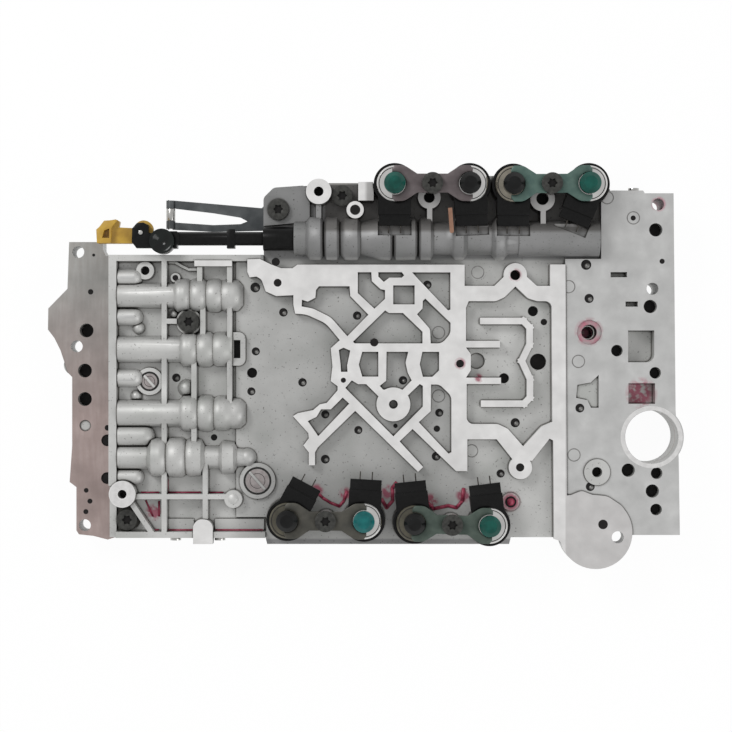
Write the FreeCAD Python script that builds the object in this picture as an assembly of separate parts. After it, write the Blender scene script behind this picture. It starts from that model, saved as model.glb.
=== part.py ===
import FreeCAD, Part
import math
import os

# Hydraulic valve body of an automatic gearbox, lying on its gearbox face.
# Millimetres, +Z up. The origin is the middle of the gearbox face, at z = 0.

# Stack heights, counted up from the gearbox face
LOWER_T = 18.0
PLATE_T = 1.5
LOW_FLOOR_T = 4.5
MID_FLOOR_T = 7.5
LAND_H = 7.0
RIB_H = 9.0
SHELF_DROP = 1.5
FLANGE_H = 4.0
PAD_H = 13.0

PLATE_Z = LOWER_T
HOUSING_Z = PLATE_Z + PLATE_T
LOW_FLOOR_Z = HOUSING_Z + LOW_FLOOR_T
MID_FLOOR_Z = HOUSING_Z + MID_FLOOR_T
LAND_Z = MID_FLOOR_Z + LAND_H
RIB_Z = LOW_FLOOR_Z + RIB_H
SHELF_Z = LAND_Z - SHELF_DROP
FLANGE_Z = MID_FLOOR_Z + FLANGE_H
PAD_Z = MID_FLOOR_Z + PAD_H

# Castings
RIB_W = 3.0
HOOK_W = 3.8
CHANNEL_D = 9.0
CASE_HOLE_R = 3.5
CONNECTOR_R = 15.5
CONNECTOR_WALL = 3.3

# Valve bores and their spools
BORE_R = 4.45
RUN_CLEAR = 0.05
BORE_Z = MID_FLOOR_Z + 0.5
SPOOL_L = 42.0
SPOOL_WAIST_R = 2.6
SPRING_R = 3.9
SPRING_WALL = 0.9
PLUG_L = 4.0
SEAT_GAP = 0.05
SPOOL_STAND = 0.3
HOUSING_LEFT = -150.5

# Selector valve
SELECT_Y = 74.3
SELECT_Z = LAND_Z
SELECT_BORE_R = 6.05
SELECT_LEFT = -42.0
SELECT_RIGHT = 136.0
SELECT_BARREL_R = 9.6
SELECT_BULGE_R = 12.6
SELECT_END_WALL = 8.0
SELECT_OVERLAP = 14.5
SELECT_WAIST_R = 3.6
SELECT_SPOOL_END = 70.0
ROD_R = 4.0
GUIDE_R = 7.0
GUIDE_L = 18.0
HOLDER_R = 7.2
SLIDER_T = 7.0
LUG_T = 5.0
LUG_STEP = 0.5
COUPLING_PIN_R = 1.3
COUPLING_XY = (-131.0, 77.6)
HOLDER_H = 13.5
HOLDER_Z = SELECT_Z - 4.0
HOLDER_XY = (-118.5, 72.5)
MAGNET_R = 4.0
MAGNET_H = 6.0

# Detent spring and roller
LEAF_T = 1.2
LEAF_GAP = 0.1
ROLLER_R = 2.7
ROLLER_L = 7.0
ROLLER_Y = 89.3
ROLLER_X = -115.3
ROLLER_PIN_R = 1.2
EYE_L = 4.6
EYE_GAP = 0.2

# Solenoids
CAN_R = 10.4
CAN_H = 20.0
CAN_EDGE = 0.9
COLLAR_R = 12.2
COLLAR_H = 15.0
CAP_R = 6.2
CAP_H = 9.0
BLOCK_W = 19.0
BLOCK_FAR = 24.0
BLOCK_STEP = 18.0
BLOCK_FOOT = 8.0
BLOCK_TO_STRAP = 1.0
STEP_FOOT = 13.4
STEP_DOWN = 2.4
BLADE_W = 1.4
BLADE_T = 0.7
BLADE_L = 4.5
BLADE_PITCH = 7.0
STRAP_T = 2.0
STRAP_NECK = 11.0
STRAP_REACH = 1.5
PILLAR_R = 5.6
CAP_GAP = 0.4
FORK_HALF = 5.0

# Fasteners
HEAD_R = 6.1
HEAD_H = 3.6
SHANK_R = 3.0
SHANK_L = 14.0
SOCKET_R = 3.1
SOCKET_D = 2.2
SCREW_PILLAR_R = 7.4
SIDE_PLUG_R = 3.2
SIDE_PLUG_L = 2.0

# Sleeve in the shelf
SLEEVE_HOLE_R = 7.2
SLEEVE_R = 4.5
SLEEVE_WALL = 1.0
SLEEVE_L = 20.0
SLEEVE_XY = (130.5, 19.7)
SLEEVE_FLOOR = 1.0
RING_T = 2.2
RING_Z = 8.0


def vec(x, y, z=0.0):
    return FreeCAD.Vector(x, y, z)


def outline(points, z, radius=0.0):
    """Closed wire through the points at height z, each corner turned on an arc where its edges allow."""
    edges = []
    count = len(points)
    starts = []
    for i in range(count):
        here = vec(points[i][0], points[i][1], z)
        back = vec(points[i - 1][0], points[i - 1][1], z) - here
        ahead = vec(points[(i + 1) % count][0], points[(i + 1) % count][1], z) - here
        turn = back.getAngle(ahead)
        wanted = points[i][2] if len(points[i]) > 2 else radius
        reach = min(wanted / math.tan(turn / 2.0), 0.45 * back.Length, 0.45 * ahead.Length)
        if reach < 0.02:
            starts.append((here, here, None))
            continue
        tangent = reach * math.tan(turn / 2.0)
        middle = back.normalize() + ahead.normalize()
        middle.normalize()
        first = here + back * reach
        last = here + ahead * reach
        centre = here + middle * (tangent / math.sin(turn / 2.0))
        top = centre - middle * tangent
        starts.append((first, last, Part.Arc(first, top, last)))
    for i in range(count):
        first, last, arc = starts[i]
        if arc is not None:
            edges.append(arc.toShape())
        after = starts[(i + 1) % count][0]
        if last.distanceToPoint(after) > 0.001:
            edges.append(Part.makeLine(last, after))
    return Part.Wire(edges)


def slab(points, low, high, radius=0.0):
    return Part.Face(outline(points, low, radius)).extrude(vec(0, 0, high - low))


def drum(x, y, r, low, high):
    return Part.makeCylinder(r, high - low, vec(x, y, low))


def tube(x, y, outer, inner, low, high):
    return drum(x, y, outer, low, high).cut(drum(x, y, inner, low - 1, high + 1))


def bar(start, end, width, low, high):
    """Straight wall between two points in plan, run on by half its width at both ends."""
    a = vec(start[0], start[1])
    b = vec(end[0], end[1])
    along = (b - a).normalize() * (width / 2.0)
    side = vec(-along.y, along.x)
    corners = [a - along + side, a - along - side, b + along - side, b + along + side]
    return slab([(c.x, c.y) for c in corners], low, high)


def turned(profile, y, z):
    """Solid of revolution about the line along X at (y, z), from a profile of (x, r) points."""
    first = vec(profile[0][0], y, z)
    last = vec(profile[-1][0], y, z)
    skin = [vec(x, y + r, z) for x, r in profile]
    wire = Part.makePolygon([first] + skin + [last, first])
    return Part.Face(wire).revolve(first, vec(1, 0, 0), 360)


def upright(profile, x=0.0, y=0.0):
    """Solid of revolution about the vertical line at (x, y), from a profile of (z, r) points."""
    lying = turned(profile, 0.0, 0.0)
    lying.rotate(vec(0, 0, 0), vec(0, 1, 0), -90)
    lying.translate(vec(x, y, 0))
    return lying


def joined(first, others):
    return first.fuse(others).removeSplitter()


# Holes that go right through the whole stack, for the bolts into the gearbox: (x, y, r)
CASE_HOLES_LEFT = [(-169.9, 67.3, CASE_HOLE_R), (-170.8, 11.6, CASE_HOLE_R), (-166.0, -94.0, CASE_HOLE_R)]
CASE_HOLES_RIGHT = [(170.8, 94.5, CASE_HOLE_R), (167.5, 45.2, CASE_HOLE_R)]
PAD_HOLE = (147.0, -100.0, CASE_HOLE_R)
PAD_XY = (134.2, -97.2)
PAD_R = 21.4
CONNECTOR_XY = (167.0, -41.5)

# Oil ports of the plate's open edge, and those that go on down into the lower housing: (x, y, r)
DEEP_PORTS = [(-165.0, 21.0, 4.1), (-166.0, -2.7, 4.1), (-166.0, -19.5, 4.1)]
FLAT_PORTS = [(-165.8, -35.2, 3.4), (-152.8, -43.9, 3.5), (-152.9, -66.2, 3.5)]

# Oil ports of the shelf at the right: (x, y, r)
SHELF_PORTS = [
    (169.4, 79.6, 3.9), (166.2, 34.8, 3.9), (146.7, 9.0, 3.4), (169.1, -4.0, 3.4), (153.3, -60.9, 3.9),
    (169.9, -62.7, 3.4), (167.4, -73.1, 3.9), (169.6, -83.9, 3.4),
]

# Oil ports of the middle floor and of the lands: (x, y, r)
FLOOR_PORTS = [(65.0, 3.0, 4.8), (101.0, 2.5, 4.8), (98.0, 32.2, 3.0), (81.0, -7.2, 3.0), (-66.9, -4.0, 3.0)]
LAND_PORTS = [(16.0, -22.4, 2.6), (87.2, 53.1, 3.0)]

# Valve towers: axis y, inner end of the bore, and the outer skin as (x, r) points
TOWER_LEFT = HOUSING_LEFT + 5.0
TOWERS = [
    (41.3, -80.0, [
        (TOWER_LEFT, 7.2), (-112.5, 7.2), (-110.5, 9.6), (-105.0, 9.9), (-103.0, 8.3), (-101.0, 9.9),
        (-95.5, 9.9), (-93.5, 8.2), (-91.5, 9.7), (-86.5, 9.7), (-84.5, 8.2), (-82.5, 9.4), (-75.0, 9.0),
        (-72.0, 5.6)]),
    (9.8, -80.0, [
        (TOWER_LEFT, 7.6), (-109.0, 7.6), (-107.0, 10.0), (-101.0, 10.3), (-99.0, 8.7), (-97.0, 10.3),
        (-91.5, 10.3), (-89.5, 8.7), (-87.5, 10.0), (-82.5, 10.0), (-80.5, 8.8), (-78.2, 8.8)]),
    (-27.8, -80.0, [
        (TOWER_LEFT, 7.8), (-109.5, 7.8), (-107.0, 10.4), (-100.5, 10.6), (-98.5, 8.9), (-96.5, 10.6),
        (-91.0, 10.6), (-89.0, 8.8), (-87.0, 10.2), (-81.5, 10.0), (-79.5, 8.6), (-77.5, 9.0), (-73.5, 8.6),
        (-70.5, 5.8)]),
    (-53.6, -80.0, [
        (TOWER_LEFT, 6.9), (-128.0, 6.9), (-125.5, 11.2), (-119.0, 11.4), (-117.0, 9.6), (-115.0, 11.5),
        (-107.5, 11.5), (-105.5, 9.6), (-103.5, 11.2), (-96.5, 10.6), (-94.5, 6.6), (-86.0, 6.6),
        (-84.0, 9.8), (-77.5, 9.2), (-75.5, 5.4), (-69.0, 5.0), (-66.5, 2.0)]),
]

# Short side passages off the left wall: (x of the round end, y, r)
STUBS = [
    (-138.8, 51.8, 5.0), (-138.6, 28.8, 5.0), (-139.0, -7.0, 5.2), (-133.5, -41.0, 6.2), (-137.5, -65.0, 4.6),
]

# Walls between the towers: (start, end)
RIBS = [
    ((-118.0, 62.0), (-118.0, -97.0)), ((-97.3, 60.0), (-97.3, 46.0)), ((-95.4, 36.0), (-95.4, 16.0)),
    ((-79.8, 60.0), (-79.8, -22.0)), ((-100.6, 4.0), (-100.6, -20.0)), ((-100.6, -34.0), (-100.6, -45.0)),
    ((-94.0, -57.0), (-94.0, -88.0)), ((-134.0, -76.4), (-82.0, -76.4)), ((-136.5, -81.0), (-125.0, -98.0)),
    ((-118.0, 26.2), (-112.0, 26.2)),
]

# Screws into the casting: (x, y, height of the seat)
CLAMP_SCREW = (-51.3, 91.6, FLANGE_Z)
HOUSING_SCREWS = [(-103.7, 25.9, LOW_FLOOR_Z + 7.0), (-13.9, 99.5, FLANGE_Z)]
CORNER_SCREW = (-140.2, -90.2, LOW_FLOOR_Z + LEAF_T)

# Solenoids: can centre in plan and the heading of the connector in degrees
SOLENOIDS = [
    (16.6, 105.6, -90.0), (60.2, 105.6, -87.0), (85.4, 105.3, -90.0), (129.3, 105.6, -112.0),
    (-45.6, -89.4, 62.0), (-1.2, -89.8, 87.0), (28.0, -91.0, 96.0), (71.6, -92.4, 97.0),
]
STRAP_PAIRS = [(0, 1), (2, 3), (4, 5), (6, 7)]
SOLENOID_Z = MID_FLOOR_Z
STRAP_Z = SOLENOID_Z + CAN_H

HOUSING_OUTLINE = [
    (HOUSING_LEFT, -100.5), (-59.0, -100.5), (-58.0, -104.5), (84.0, -104.5), (85.0, -100.5),
    (112.0, -100.5), (156.5, -98.8), (183.5, -98.8), (182.8, -54.0), (181.0, -26.0), (179.8, 101.0),
    (163.0, 101.0), (162.0, 102.6), (143.5, 102.6), (140.0, 111.6), (6.0, 111.6), (4.5, 107.0),
    (-37.0, 105.6), (-54.0, 104.4, 4.0), (-60.0, 98.5, 4.0), (-60.0, 65.0), (HOUSING_LEFT, 65.0),
]

SHELF_OUTLINE = [
    (116.5, 62.6), (137.5, 62.6), (137.5, 101.5), (143.5, 102.6), (162.0, 102.6), (163.0, 101.0),
    (179.8, 101.0), (181.0, -26.0), (182.8, -54.0), (183.5, -98.8), (156.5, -98.8), (116.5, -100.0),
]

STRIP_OUTLINE = [
    (-175.3, 73.2), (-155.5, 73.2), (-155.5, 68.5), (-153.5, 65.0), (-146.0, 65.0), (-146.0, -100.5),
    (-152.5, -102.5), (-161.0, -100.3), (-169.5, -99.4), (-171.0, -97.0), (-171.0, -71.5),
    (-175.0, -68.5), (-173.5, -47.0), (-173.5, -6.5), (-176.0, -4.0), (-180.5, 9.5), (-184.0, 16.5),
    (-187.8, 21.5), (-187.6, 34.0), (-176.3, 45.6),
]

LAND_OUTLINE = [
    (-69.3, 62.3), (-62.0, 62.5), (-55.5, 59.3), (-49.5, 57.1), (-43.0, 57.1),
    (-40.0, 59.2), (57.6, 59.2), (57.6, 46.8), (75.0, 46.8), (81.0, 52.6), (93.4, 52.6),
    (99.8, 46.8), (107.5, 46.8), (107.5, 59.3), (116.5, 59.3), (117.3, -75.6), (119.6, -75.4),
    (126.0, -72.8, 4.0), (132.0, -75.2, 4.0), (141.0, -76.0, 9.0), (150.0, -82.0, 9.0), (155.0, -92.0, 9.0),
    (155.0, -99.0), (130.0, -108.0), (109.8, -101.0), (109.3, -43.5), (107.2, -42.4),
    (97.0, -55.4), (85.5, -54.4), (76.4, -42.8), (59.2, -42.8), (59.2, -61.4),
    (52.6, -61.4), (27.2, -36.8), (19.6, -44.0), (33.4, -59.0), (30.4, -61.8),
    (-6.3, -26.2), (-28.2, -47.6), (-29.8, -50.5), (-29.8, -58.0), (-33.4, -58.0),
    (-33.4, -50.4), (-36.6, -46.4), (-33.4, -42.2), (-33.7, -39.2), (-42.6, -29.3),
    (-40.0, -27.6), (-31.0, -25.8), (-27.0, -22.4), (-23.0, -21.6), (-16.6, -14.2),
    (-16.6, -11.8), (-20.6, -8.8), (-19.6, 0.0, 4.0), (-20.6, 10.4), (-15.3, 15.1),
    (-23.5, 25.0, 14.0), (-35.0, 30.2, 14.0), (-41.4, 30.6), (-42.4, 36.0), (-42.4, 41.4),
    (-52.5, 40.9), (-58.6, 43.6), (-61.0, 50.5, 4.0), (-64.0, 52.3), (-68.0, 51.8),
    (-69.3, 55.0),
]

# Pockets inside the lands, each a closed outline
POCKETS = [
    [(-27.5, 46.6), (-9.6, 46.6), (-9.2, 40.9), (1.4, 30.0), (-10.9, 17.4),
     (-20.5, 28.4, 12.0), (-31.0, 33.6, 12.0), (-37.6, 34.8), (-37.4, 38.7), (-34.0, 37.6),
     (-29.6, 39.9), (-29.2, 44.5)],
    [(-4.8, 54.8), (3.1, 54.8), (3.4, 49.6), (8.5, 44.9), (11.1, 44.4), (11.1, 39.2),
     (4.9, 33.5), (-4.8, 42.6)],
    [(7.2, 54.8), (20.9, 54.8), (22.3, 53.0), (20.9, 51.6), (13.6, 51.6), (10.4, 49.1),
     (7.2, 52.2)],
    [(15.9, 47.1), (28.4, 47.1), (28.4, 36.0), (15.9, 36.0)],
    [(26.9, 54.7), (49.3, 54.7), (49.3, 33.0), (47.9, 32.5), (31.2, 50.0)],
    [(34.6, 39.4), (49.4, 25.2), (49.4, 19.0, 6.0), (44.5, 13.2, 6.0), (37.8, 13.2),
     (37.4, 21.6, 4.0), (29.8, 30.2), (33.0, 33.6), (33.2, 38.0)],
    [(11.2, 32.5), (13.4, 31.0), (21.6, 31.0), (33.0, 20.0), (33.0, 13.2), (-6.6, 13.2),
     (-7.6, 14.2)],
    [(-15.9, 9.4), (-13.1, 10.7), (-9.2, 9.0), (-11.0, 0.5), (-10.8, -3.4),
     (-14.6, -3.4), (-14.9, 1.5)],
    [(-2.2, 8.3), (7.2, 8.3), (7.2, -6.2), (-2.2, -6.2), (-4.2, 0.8)],
    [(12.0, 8.3), (24.7, 8.3), (23.1, 2.0, 4.0), (24.4, -4.0, 4.0), (26.7, -8.4), (21.5, -13.8),
     (10.0, -13.8), (8.0, -11.6), (11.8, -8.6)],
    [(32.9, 8.3), (42.7, 8.3), (42.7, -2.6), (38.8, -6.3), (33.2, -6.3), (31.4, 1.0)],
    [(-12.1, -12.8), (-8.3, -8.4), (-4.6, -10.6), (0.1, -10.6), (12.0, -22.4),
     (19.0, -22.4), (31.4, -10.5), (33.2, -11.6), (33.2, -23.7), (16.0, -41.1)],
    [(-13.6, -18.4), (-9.8, -22.0), (-27.9, -41.0), (-34.0, -32.2), (-28.9, -29.7),
     (-26.3, -25.3), (-20.5, -25.3)],
    [(38.0, -10.8), (43.0, -10.8, 6.0), (49.9, -17.5, 6.0), (49.9, -50.4), (48.2, -51.2),
     (30.8, -32.8), (37.8, -26.4)],
    [(60.0, 37.9), (76.0, 37.9, 6.0), (81.0, 40.2, 5.0), (87.3, 46.5), (94.5, 39.6, 5.0),
     (100.0, 37.9, 6.0), (108.4, 37.9, 4.0), (108.8, -32.6), (102.5, -35.2, 5.0), (91.8, -46.9),
     (82.8, -36.6, 5.0), (77.0, -33.9, 5.0), (58.8, -33.9, 4.0), (58.8, -10.5), (78.8, -10.5),
     (78.8, -6.8), (58.4, -6.8), (61.2, -2.6), (61.2, 7.0), (58.4, 10.8),
     (78.4, 10.8), (78.4, 14.7), (58.4, 14.7), (58.4, 34.0)],
]

# Centre line of the hooked wall inside the widest pocket
HOOK_LINE = [
    (68.5, 26.3), (92.0, 26.3), (95.6, 22.5), (95.6, 12.5), (91.0, 3.0), (95.8, -7.5), (95.8, -18.5),
    (92.4, -22.0), (69.0, -22.0),
]

# Worm tracks in the gearbox face of the lower housing, each a closed outline
TRACKS = [
    [(-140, 50), (-90, 50), (-90, 38), (-128, 38), (-128, -10), (-140, -10)],
    [(-115, 25), (-70, 25), (-70, -35), (-82, -35), (-82, 13), (-115, 13)],
    [(-140, -30), (-98, -30), (-98, -60), (-60, -60), (-60, -72), (-110, -72), (-110, -42), (-140, -42)],
    [(-55, 50), (30, 50), (30, 38), (-43, 38), (-43, -20), (-55, -20)],
    [(-28, 22), (50, 22), (50, -45), (38, -45), (38, 10), (-28, 10)],
    [(62, 55), (108, 55), (108, -20), (96, -20), (96, 43), (62, 43)],
    [(-20, -60), (95, -60), (95, -72), (-20, -72)],
]


def disc_tools(holes, low, high):
    return [drum(x, y, r, low, high) for x, y, r in holes]


def star_socket(x, y, top):
    """Six-lobed drive recess in a screw head."""
    points = []
    for i in range(12):
        r = SOCKET_R if i % 2 == 0 else SOCKET_R * 0.68
        angle = math.radians(30 * i)
        points.append((x + r * math.cos(angle), y + r * math.sin(angle), 0))
    return slab(points, top - SOCKET_D, top + 1, 0)


def screw(x, y, seat, length=SHANK_L):
    """Flat-headed screw whose head rests on the seat height."""
    body = drum(x, y, HEAD_R, seat, seat + HEAD_H).fuse(drum(x, y, SHANK_R - RUN_CLEAR, seat - length, seat))
    return body.cut(star_socket(x, y, seat + HEAD_H))


def tower_solids():
    """Outer skins of the four valve towers and the short passages beside them."""
    solids = [turned(profile, y, BORE_Z) for y, end, profile in TOWERS]
    for x, y, r in STUBS:
        solids.append(turned([(TOWER_LEFT, r), (x + 0.6 * r, r)], y, BORE_Z))
    return solids


def selector_barrel():
    """Scalloped barrel of the selector valve along the rear edge."""
    base = SELECT_BARREL_R
    crown = SELECT_BULGE_R
    profile = [(SELECT_LEFT, base), (-35.0, base)]
    for left, right in ((-32.5, -26.5), (-23.0, -17.0), (-12.0, -5.0), (9.5, 14.0), (17.5, 28.5),
                        (32.0, 37.5)):
        profile += [(left, crown), (right, crown), (right + 1.8, base - 0.2)]
    profile += [(49.5, base), (52.0, crown), (56.5, crown), (59.0, base - 0.2), (73.0, base - 0.2)]
    profile += [(75.5, crown), (80.0, crown), (82.5, base), (88.5, base), (89.0, base + 0.7)]
    profile += [(SELECT_RIGHT, base + 0.7)]
    return turned(profile, SELECT_Y, SELECT_Z)


def land_network():
    """Machined sealing lands: one outline with its pockets, then the loose wall and round bosses."""
    face = Part.Face(outline(LAND_OUTLINE, MID_FLOOR_Z))
    face = face.cut([Part.Face(outline(pocket, MID_FLOOR_Z)) for pocket in POCKETS])
    lands = face.extrude(vec(0, 0, LAND_H))
    extra = [
        drum(16.0, -22.4, 9.9, MID_FLOOR_Z, LAND_Z), drum(87.2, 53.3, 6.8, MID_FLOOR_Z, LAND_Z),
        drum(90.2, -59.3, 6.8, MID_FLOOR_Z, LAND_Z), drum(PAD_XY[0], PAD_XY[1], PAD_R, MID_FLOOR_Z, LAND_Z),
        bar((-98.5, 60.0), (-80.0, 60.0), 3.4, MID_FLOOR_Z, LAND_Z),
    ]
    for start, end in zip(HOOK_LINE, HOOK_LINE[1:]):
        extra.append(bar(start, end, HOOK_W, MID_FLOOR_Z, LAND_Z))
    return joined(lands, extra)


def rib_walls():
    """Cast ribs and small bosses of the low floor."""
    walls = [bar(a, b, RIB_W, LOW_FLOOR_Z, RIB_Z) for a, b in RIBS]
    walls += [
        drum(-142.2, -74.8, 7.8, LOW_FLOOR_Z, LAND_Z + 2),
        drum(-127.0, -9.0, 8.0, LOW_FLOOR_Z, LOW_FLOOR_Z + 4.5),
        drum(-63.6, -67.3, 10.5, MID_FLOOR_Z, MID_FLOOR_Z + 2.5),
        drum(-129.4, 55.9, 5.2, LOW_FLOOR_Z, LOW_FLOOR_Z + 6),
        drum(-103.7, 25.9, SCREW_PILLAR_R, LOW_FLOOR_Z, LOW_FLOOR_Z + 7.0),
        slab([(-101, -104), (-101, -89.6, 5.4), (-89.5, -89.6, 5.4), (-89.5, -104)], LOW_FLOOR_Z, LAND_Z),
        drum(-77.6, -77.8, 5.2, LOW_FLOOR_Z, RIB_Z),
    ]
    return walls


def slot_port():
    """Rounded block with a long slot at the inner end of the second tower."""
    return slab([(-79.5, 0.2), (-70.6, 0.2, 5.0), (-70.6, 19.8, 5.0), (-79.5, 19.8)],
                LOW_FLOOR_Z, RIB_Z - 1.5)


def strap_middle(pair):
    """Plan position of the screw between two solenoids."""
    one = SOLENOIDS[pair[0]]
    two = SOLENOIDS[pair[1]]
    return (one[0] + two[0]) / 2.0, (one[1] + two[1]) / 2.0


def rear_bosses():
    """Machined bosses, webs and strap pillars along the solenoid rows."""
    parts = [
        drum(-27.5, 101.5, 7.4, HOUSING_Z, PAD_Z),
        bar((-27.6, 96.0), (-27.6, 84.0), RIB_W, HOUSING_Z, PAD_Z - 1.5),
        drum(-6.3, 90.8, 5.0, HOUSING_Z, PAD_Z),
        slab([(-4.5, 96.2), (4.4, 96.2), (4.4, 107.0), (-4.5, 107.0)], HOUSING_Z, PAD_Z),
        slab([(-60.0, 82.0), (-33.0, 84.5), (-33.0, 104.0), (-37.0, 105.6), (-54.0, 104.4, 4.0),
              (-60.0, 98.5, 4.0)], HOUSING_Z, FLANGE_Z),
        drum(36.8, 98.0, 6.6, HOUSING_Z, PAD_Z), bar((37.0, 92.0), (37.0, 80.0), RIB_W, HOUSING_Z, PAD_Z),
        drum(102.6, 97.2, 7.2, HOUSING_Z, PAD_Z), bar((103.0, 90.0), (103.0, 80.0), RIB_W, HOUSING_Z, PAD_Z),
        drum(135.0, -62.0, 7.6, HOUSING_Z, SHELF_Z + 1.2),
    ]
    for pair in STRAP_PAIRS:
        x, y = strap_middle(pair)
        parts.append(drum(x, y, PILLAR_R, HOUSING_Z, STRAP_Z))
    return parts


def window_tools():
    """Openings in the shelf: two slots, two windows and a shallow step."""
    floor = HOUSING_Z + 2.0
    return [
        slab([(143.0, 51.9), (152.6, 51.9), (152.6, 54.9), (143.0, 54.9)], floor, LAND_Z),
        slab([(151.7, 34.7), (158.9, 34.7), (158.9, 37.7), (151.7, 37.7)], floor, LAND_Z),
        slab([(153.2, 2.2), (168.5, 2.2, 4.5), (168.5, 20.8), (153.2, 20.8)], floor, LAND_Z),
        slab([(153.4, -22.1), (169.0, -22.1), (169.0, -10.1), (153.4, -10.1)], floor, LAND_Z),
        slab([(122.8, -18.6), (129.5, -20.0), (131.5, -24.4), (136.0, -24.4), (136.0, -5.2), (131.5, -9.6),
              (123.6, -11.0)], SHELF_Z - 2.0, LAND_Z),
    ]


def housing_form():
    """The upper casting before any hole is cut."""
    base = slab(HOUSING_OUTLINE, HOUSING_Z, MID_FLOOR_Z)
    base = base.cut(slab([
        (HOUSING_LEFT + 4, 61.2), (-76.2, 61.2), (-76.2, -88.6), (-58.5, -88.6), (-58.5, -96.8),
        (HOUSING_LEFT + 4, -96.8)], LOW_FLOOR_Z, MID_FLOOR_Z + 1))
    walls = [
        slab([(HOUSING_LEFT, -70.0), (HOUSING_LEFT + 4.6, -70.0), (HOUSING_LEFT + 4.6, 61.4), (-60.0, 61.4),
              (-60.0, 65.0), (HOUSING_LEFT, 65.0)], HOUSING_Z, RIB_Z),
        slab([(-146.5, -100.5), (-59.0, -100.5), (-59.0, -97.0), (-146.5, -97.0)], HOUSING_Z, RIB_Z),
        slab(SHELF_OUTLINE, HOUSING_Z, SHELF_Z),
        drum(CONNECTOR_XY[0], CONNECTOR_XY[1], CONNECTOR_R + CONNECTOR_WALL, HOUSING_Z, SHELF_Z),
        drum(PAD_XY[0], PAD_XY[1], PAD_R, HOUSING_Z, MID_FLOOR_Z), slot_port(), selector_barrel(),
    ]
    body = base.fuse(walls + tower_solids() + rib_walls() + rear_bosses() + [land_network()])
    return body.common(Part.makeBox(500, 300, 100, vec(-250, -150, HOUSING_Z)))


def screw_tools():
    """Screw holes under each head."""
    tools = []
    for x, y, seat in HOUSING_SCREWS + [CORNER_SCREW, CLAMP_SCREW]:
        tools.append(drum(x, y, SHANK_R, HOUSING_Z - 1, PAD_Z))
    for pair in STRAP_PAIRS:
        x, y = strap_middle(pair)
        tools.append(drum(x, y, SHANK_R, STRAP_Z + STRAP_T - SHANK_L, STRAP_Z + 1))
    return tools


def bore_tools():
    """Valve bores, open to the left, and the long bore of the selector valve."""
    tools = []
    for y, end, skin in TOWERS:
        length = end - HOUSING_LEFT + 1
        tools.append(Part.makeCylinder(BORE_R, length, vec(HOUSING_LEFT - 1, y, BORE_Z), vec(1, 0, 0)))
    length = SELECT_RIGHT - SELECT_END_WALL - SELECT_LEFT + 1
    start = vec(SELECT_LEFT - 1, SELECT_Y, SELECT_Z)
    tools.append(Part.makeCylinder(SELECT_BORE_R, length, start, vec(1, 0, 0)))
    return tools


def valve_housing():
    """Upper casting: valve towers on a low floor, sealing lands, shelf and selector barrel."""
    tools = disc_tools(CASE_HOLES_RIGHT + [PAD_HOLE], HOUSING_Z - 1, PAD_Z + 1)
    tools += disc_tools(SHELF_PORTS, HOUSING_Z + 3, LAND_Z + 1)
    tools += disc_tools(FLOOR_PORTS, HOUSING_Z + 1.5, MID_FLOOR_Z + 0.5)
    tools += disc_tools(LAND_PORTS, HOUSING_Z + 3, LAND_Z + 1)
    tools.append(drum(CONNECTOR_XY[0], CONNECTOR_XY[1], CONNECTOR_R, HOUSING_Z - 1, LAND_Z))
    tools.append(drum(SLEEVE_XY[0], SLEEVE_XY[1], SLEEVE_HOLE_R, HOUSING_Z - 1, LAND_Z))
    tools += window_tools() + screw_tools() + bore_tools()
    tools.append(drum(-129.4, 55.9, 2.6, HOUSING_Z + 1.5, RIB_Z + 1))
    tools.append(drum(-142.2, -74.8, 2.6, HOUSING_Z + 3, LAND_Z + 3))
    tools.append(drum(135.0, -62.0, 3.0, HOUSING_Z + 3, LAND_Z + 1))
    tools += disc_tools([(-27.5, 101.5, 2.8), (36.8, 98.0, 3.2), (102.6, 97.2, 3.6)], MID_FLOOR_Z, PAD_Z + 1)
    tools.append(slab([(-77.4, 4.6), (-73.5, 4.6), (-73.5, 15.2), (-77.4, 15.2)], LOW_FLOOR_Z + 1, RIB_Z))
    relief = slab([(BLOCK_STEP, -BLOCK_W / 2.0 - 0.3), (BLOCK_FAR + 6.0, -BLOCK_W / 2.0 - 0.3),
                   (BLOCK_FAR + 6.0, BLOCK_W / 2.0 + 0.3), (BLOCK_STEP, BLOCK_W / 2.0 + 0.3)],
                  SOLENOID_Z + STEP_FOOT - 0.3, PAD_Z + 10)
    for solenoid in SOLENOIDS:
        tools.append(drum(solenoid[0], solenoid[1], COLLAR_R + 0.4, SOLENOID_Z, PAD_Z + 1))
        tools.append(placed(relief, solenoid))
    return housing_form().cut(tools).removeSplitter()


LOWER_OUTLINE = [
    (-148.0, -98.5), (84.0, -98.5), (108.0, -96.0), (136.0, -91.0), (154.0, -91.0), (160.0, -96.5),
    (181.5, -96.5), (181.0, -54.0), (179.0, -26.0), (178.0, 99.0), (143.5, 99.0), (136.0, 108.0),
    (-22.0, 108.0),
    (-22.0, 101.0), (-57.0, 101.0), (-58.0, 65.0), (-148.0, 65.0),
]


def ground_plan(low, high):
    """Plan that the lower housing and the plate share, as one solid between two heights."""
    main = slab(LOWER_OUTLINE, low, high)
    boss = drum(CONNECTOR_XY[0], CONNECTOR_XY[1], CONNECTOR_R + CONNECTOR_WALL - 1.0, low, high)
    return joined(main, [slab(STRIP_OUTLINE, low, high), boss])


def through_tools(low, high):
    """Bolt holes and the connector opening, through any of the stacked castings."""
    tools = disc_tools(CASE_HOLES_LEFT + CASE_HOLES_RIGHT, low, high)
    tools.append(drum(CONNECTOR_XY[0], CONNECTOR_XY[1], CONNECTOR_R, low, high))
    return tools


def spring_seat(low, high):
    """Clearance under the casting's flange where the detent spring is clamped."""
    return slab([(-62.0, 79.0), (-42.0, 79.0), (-42.0, 103.0), (-62.0, 103.0)], low, high)


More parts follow.
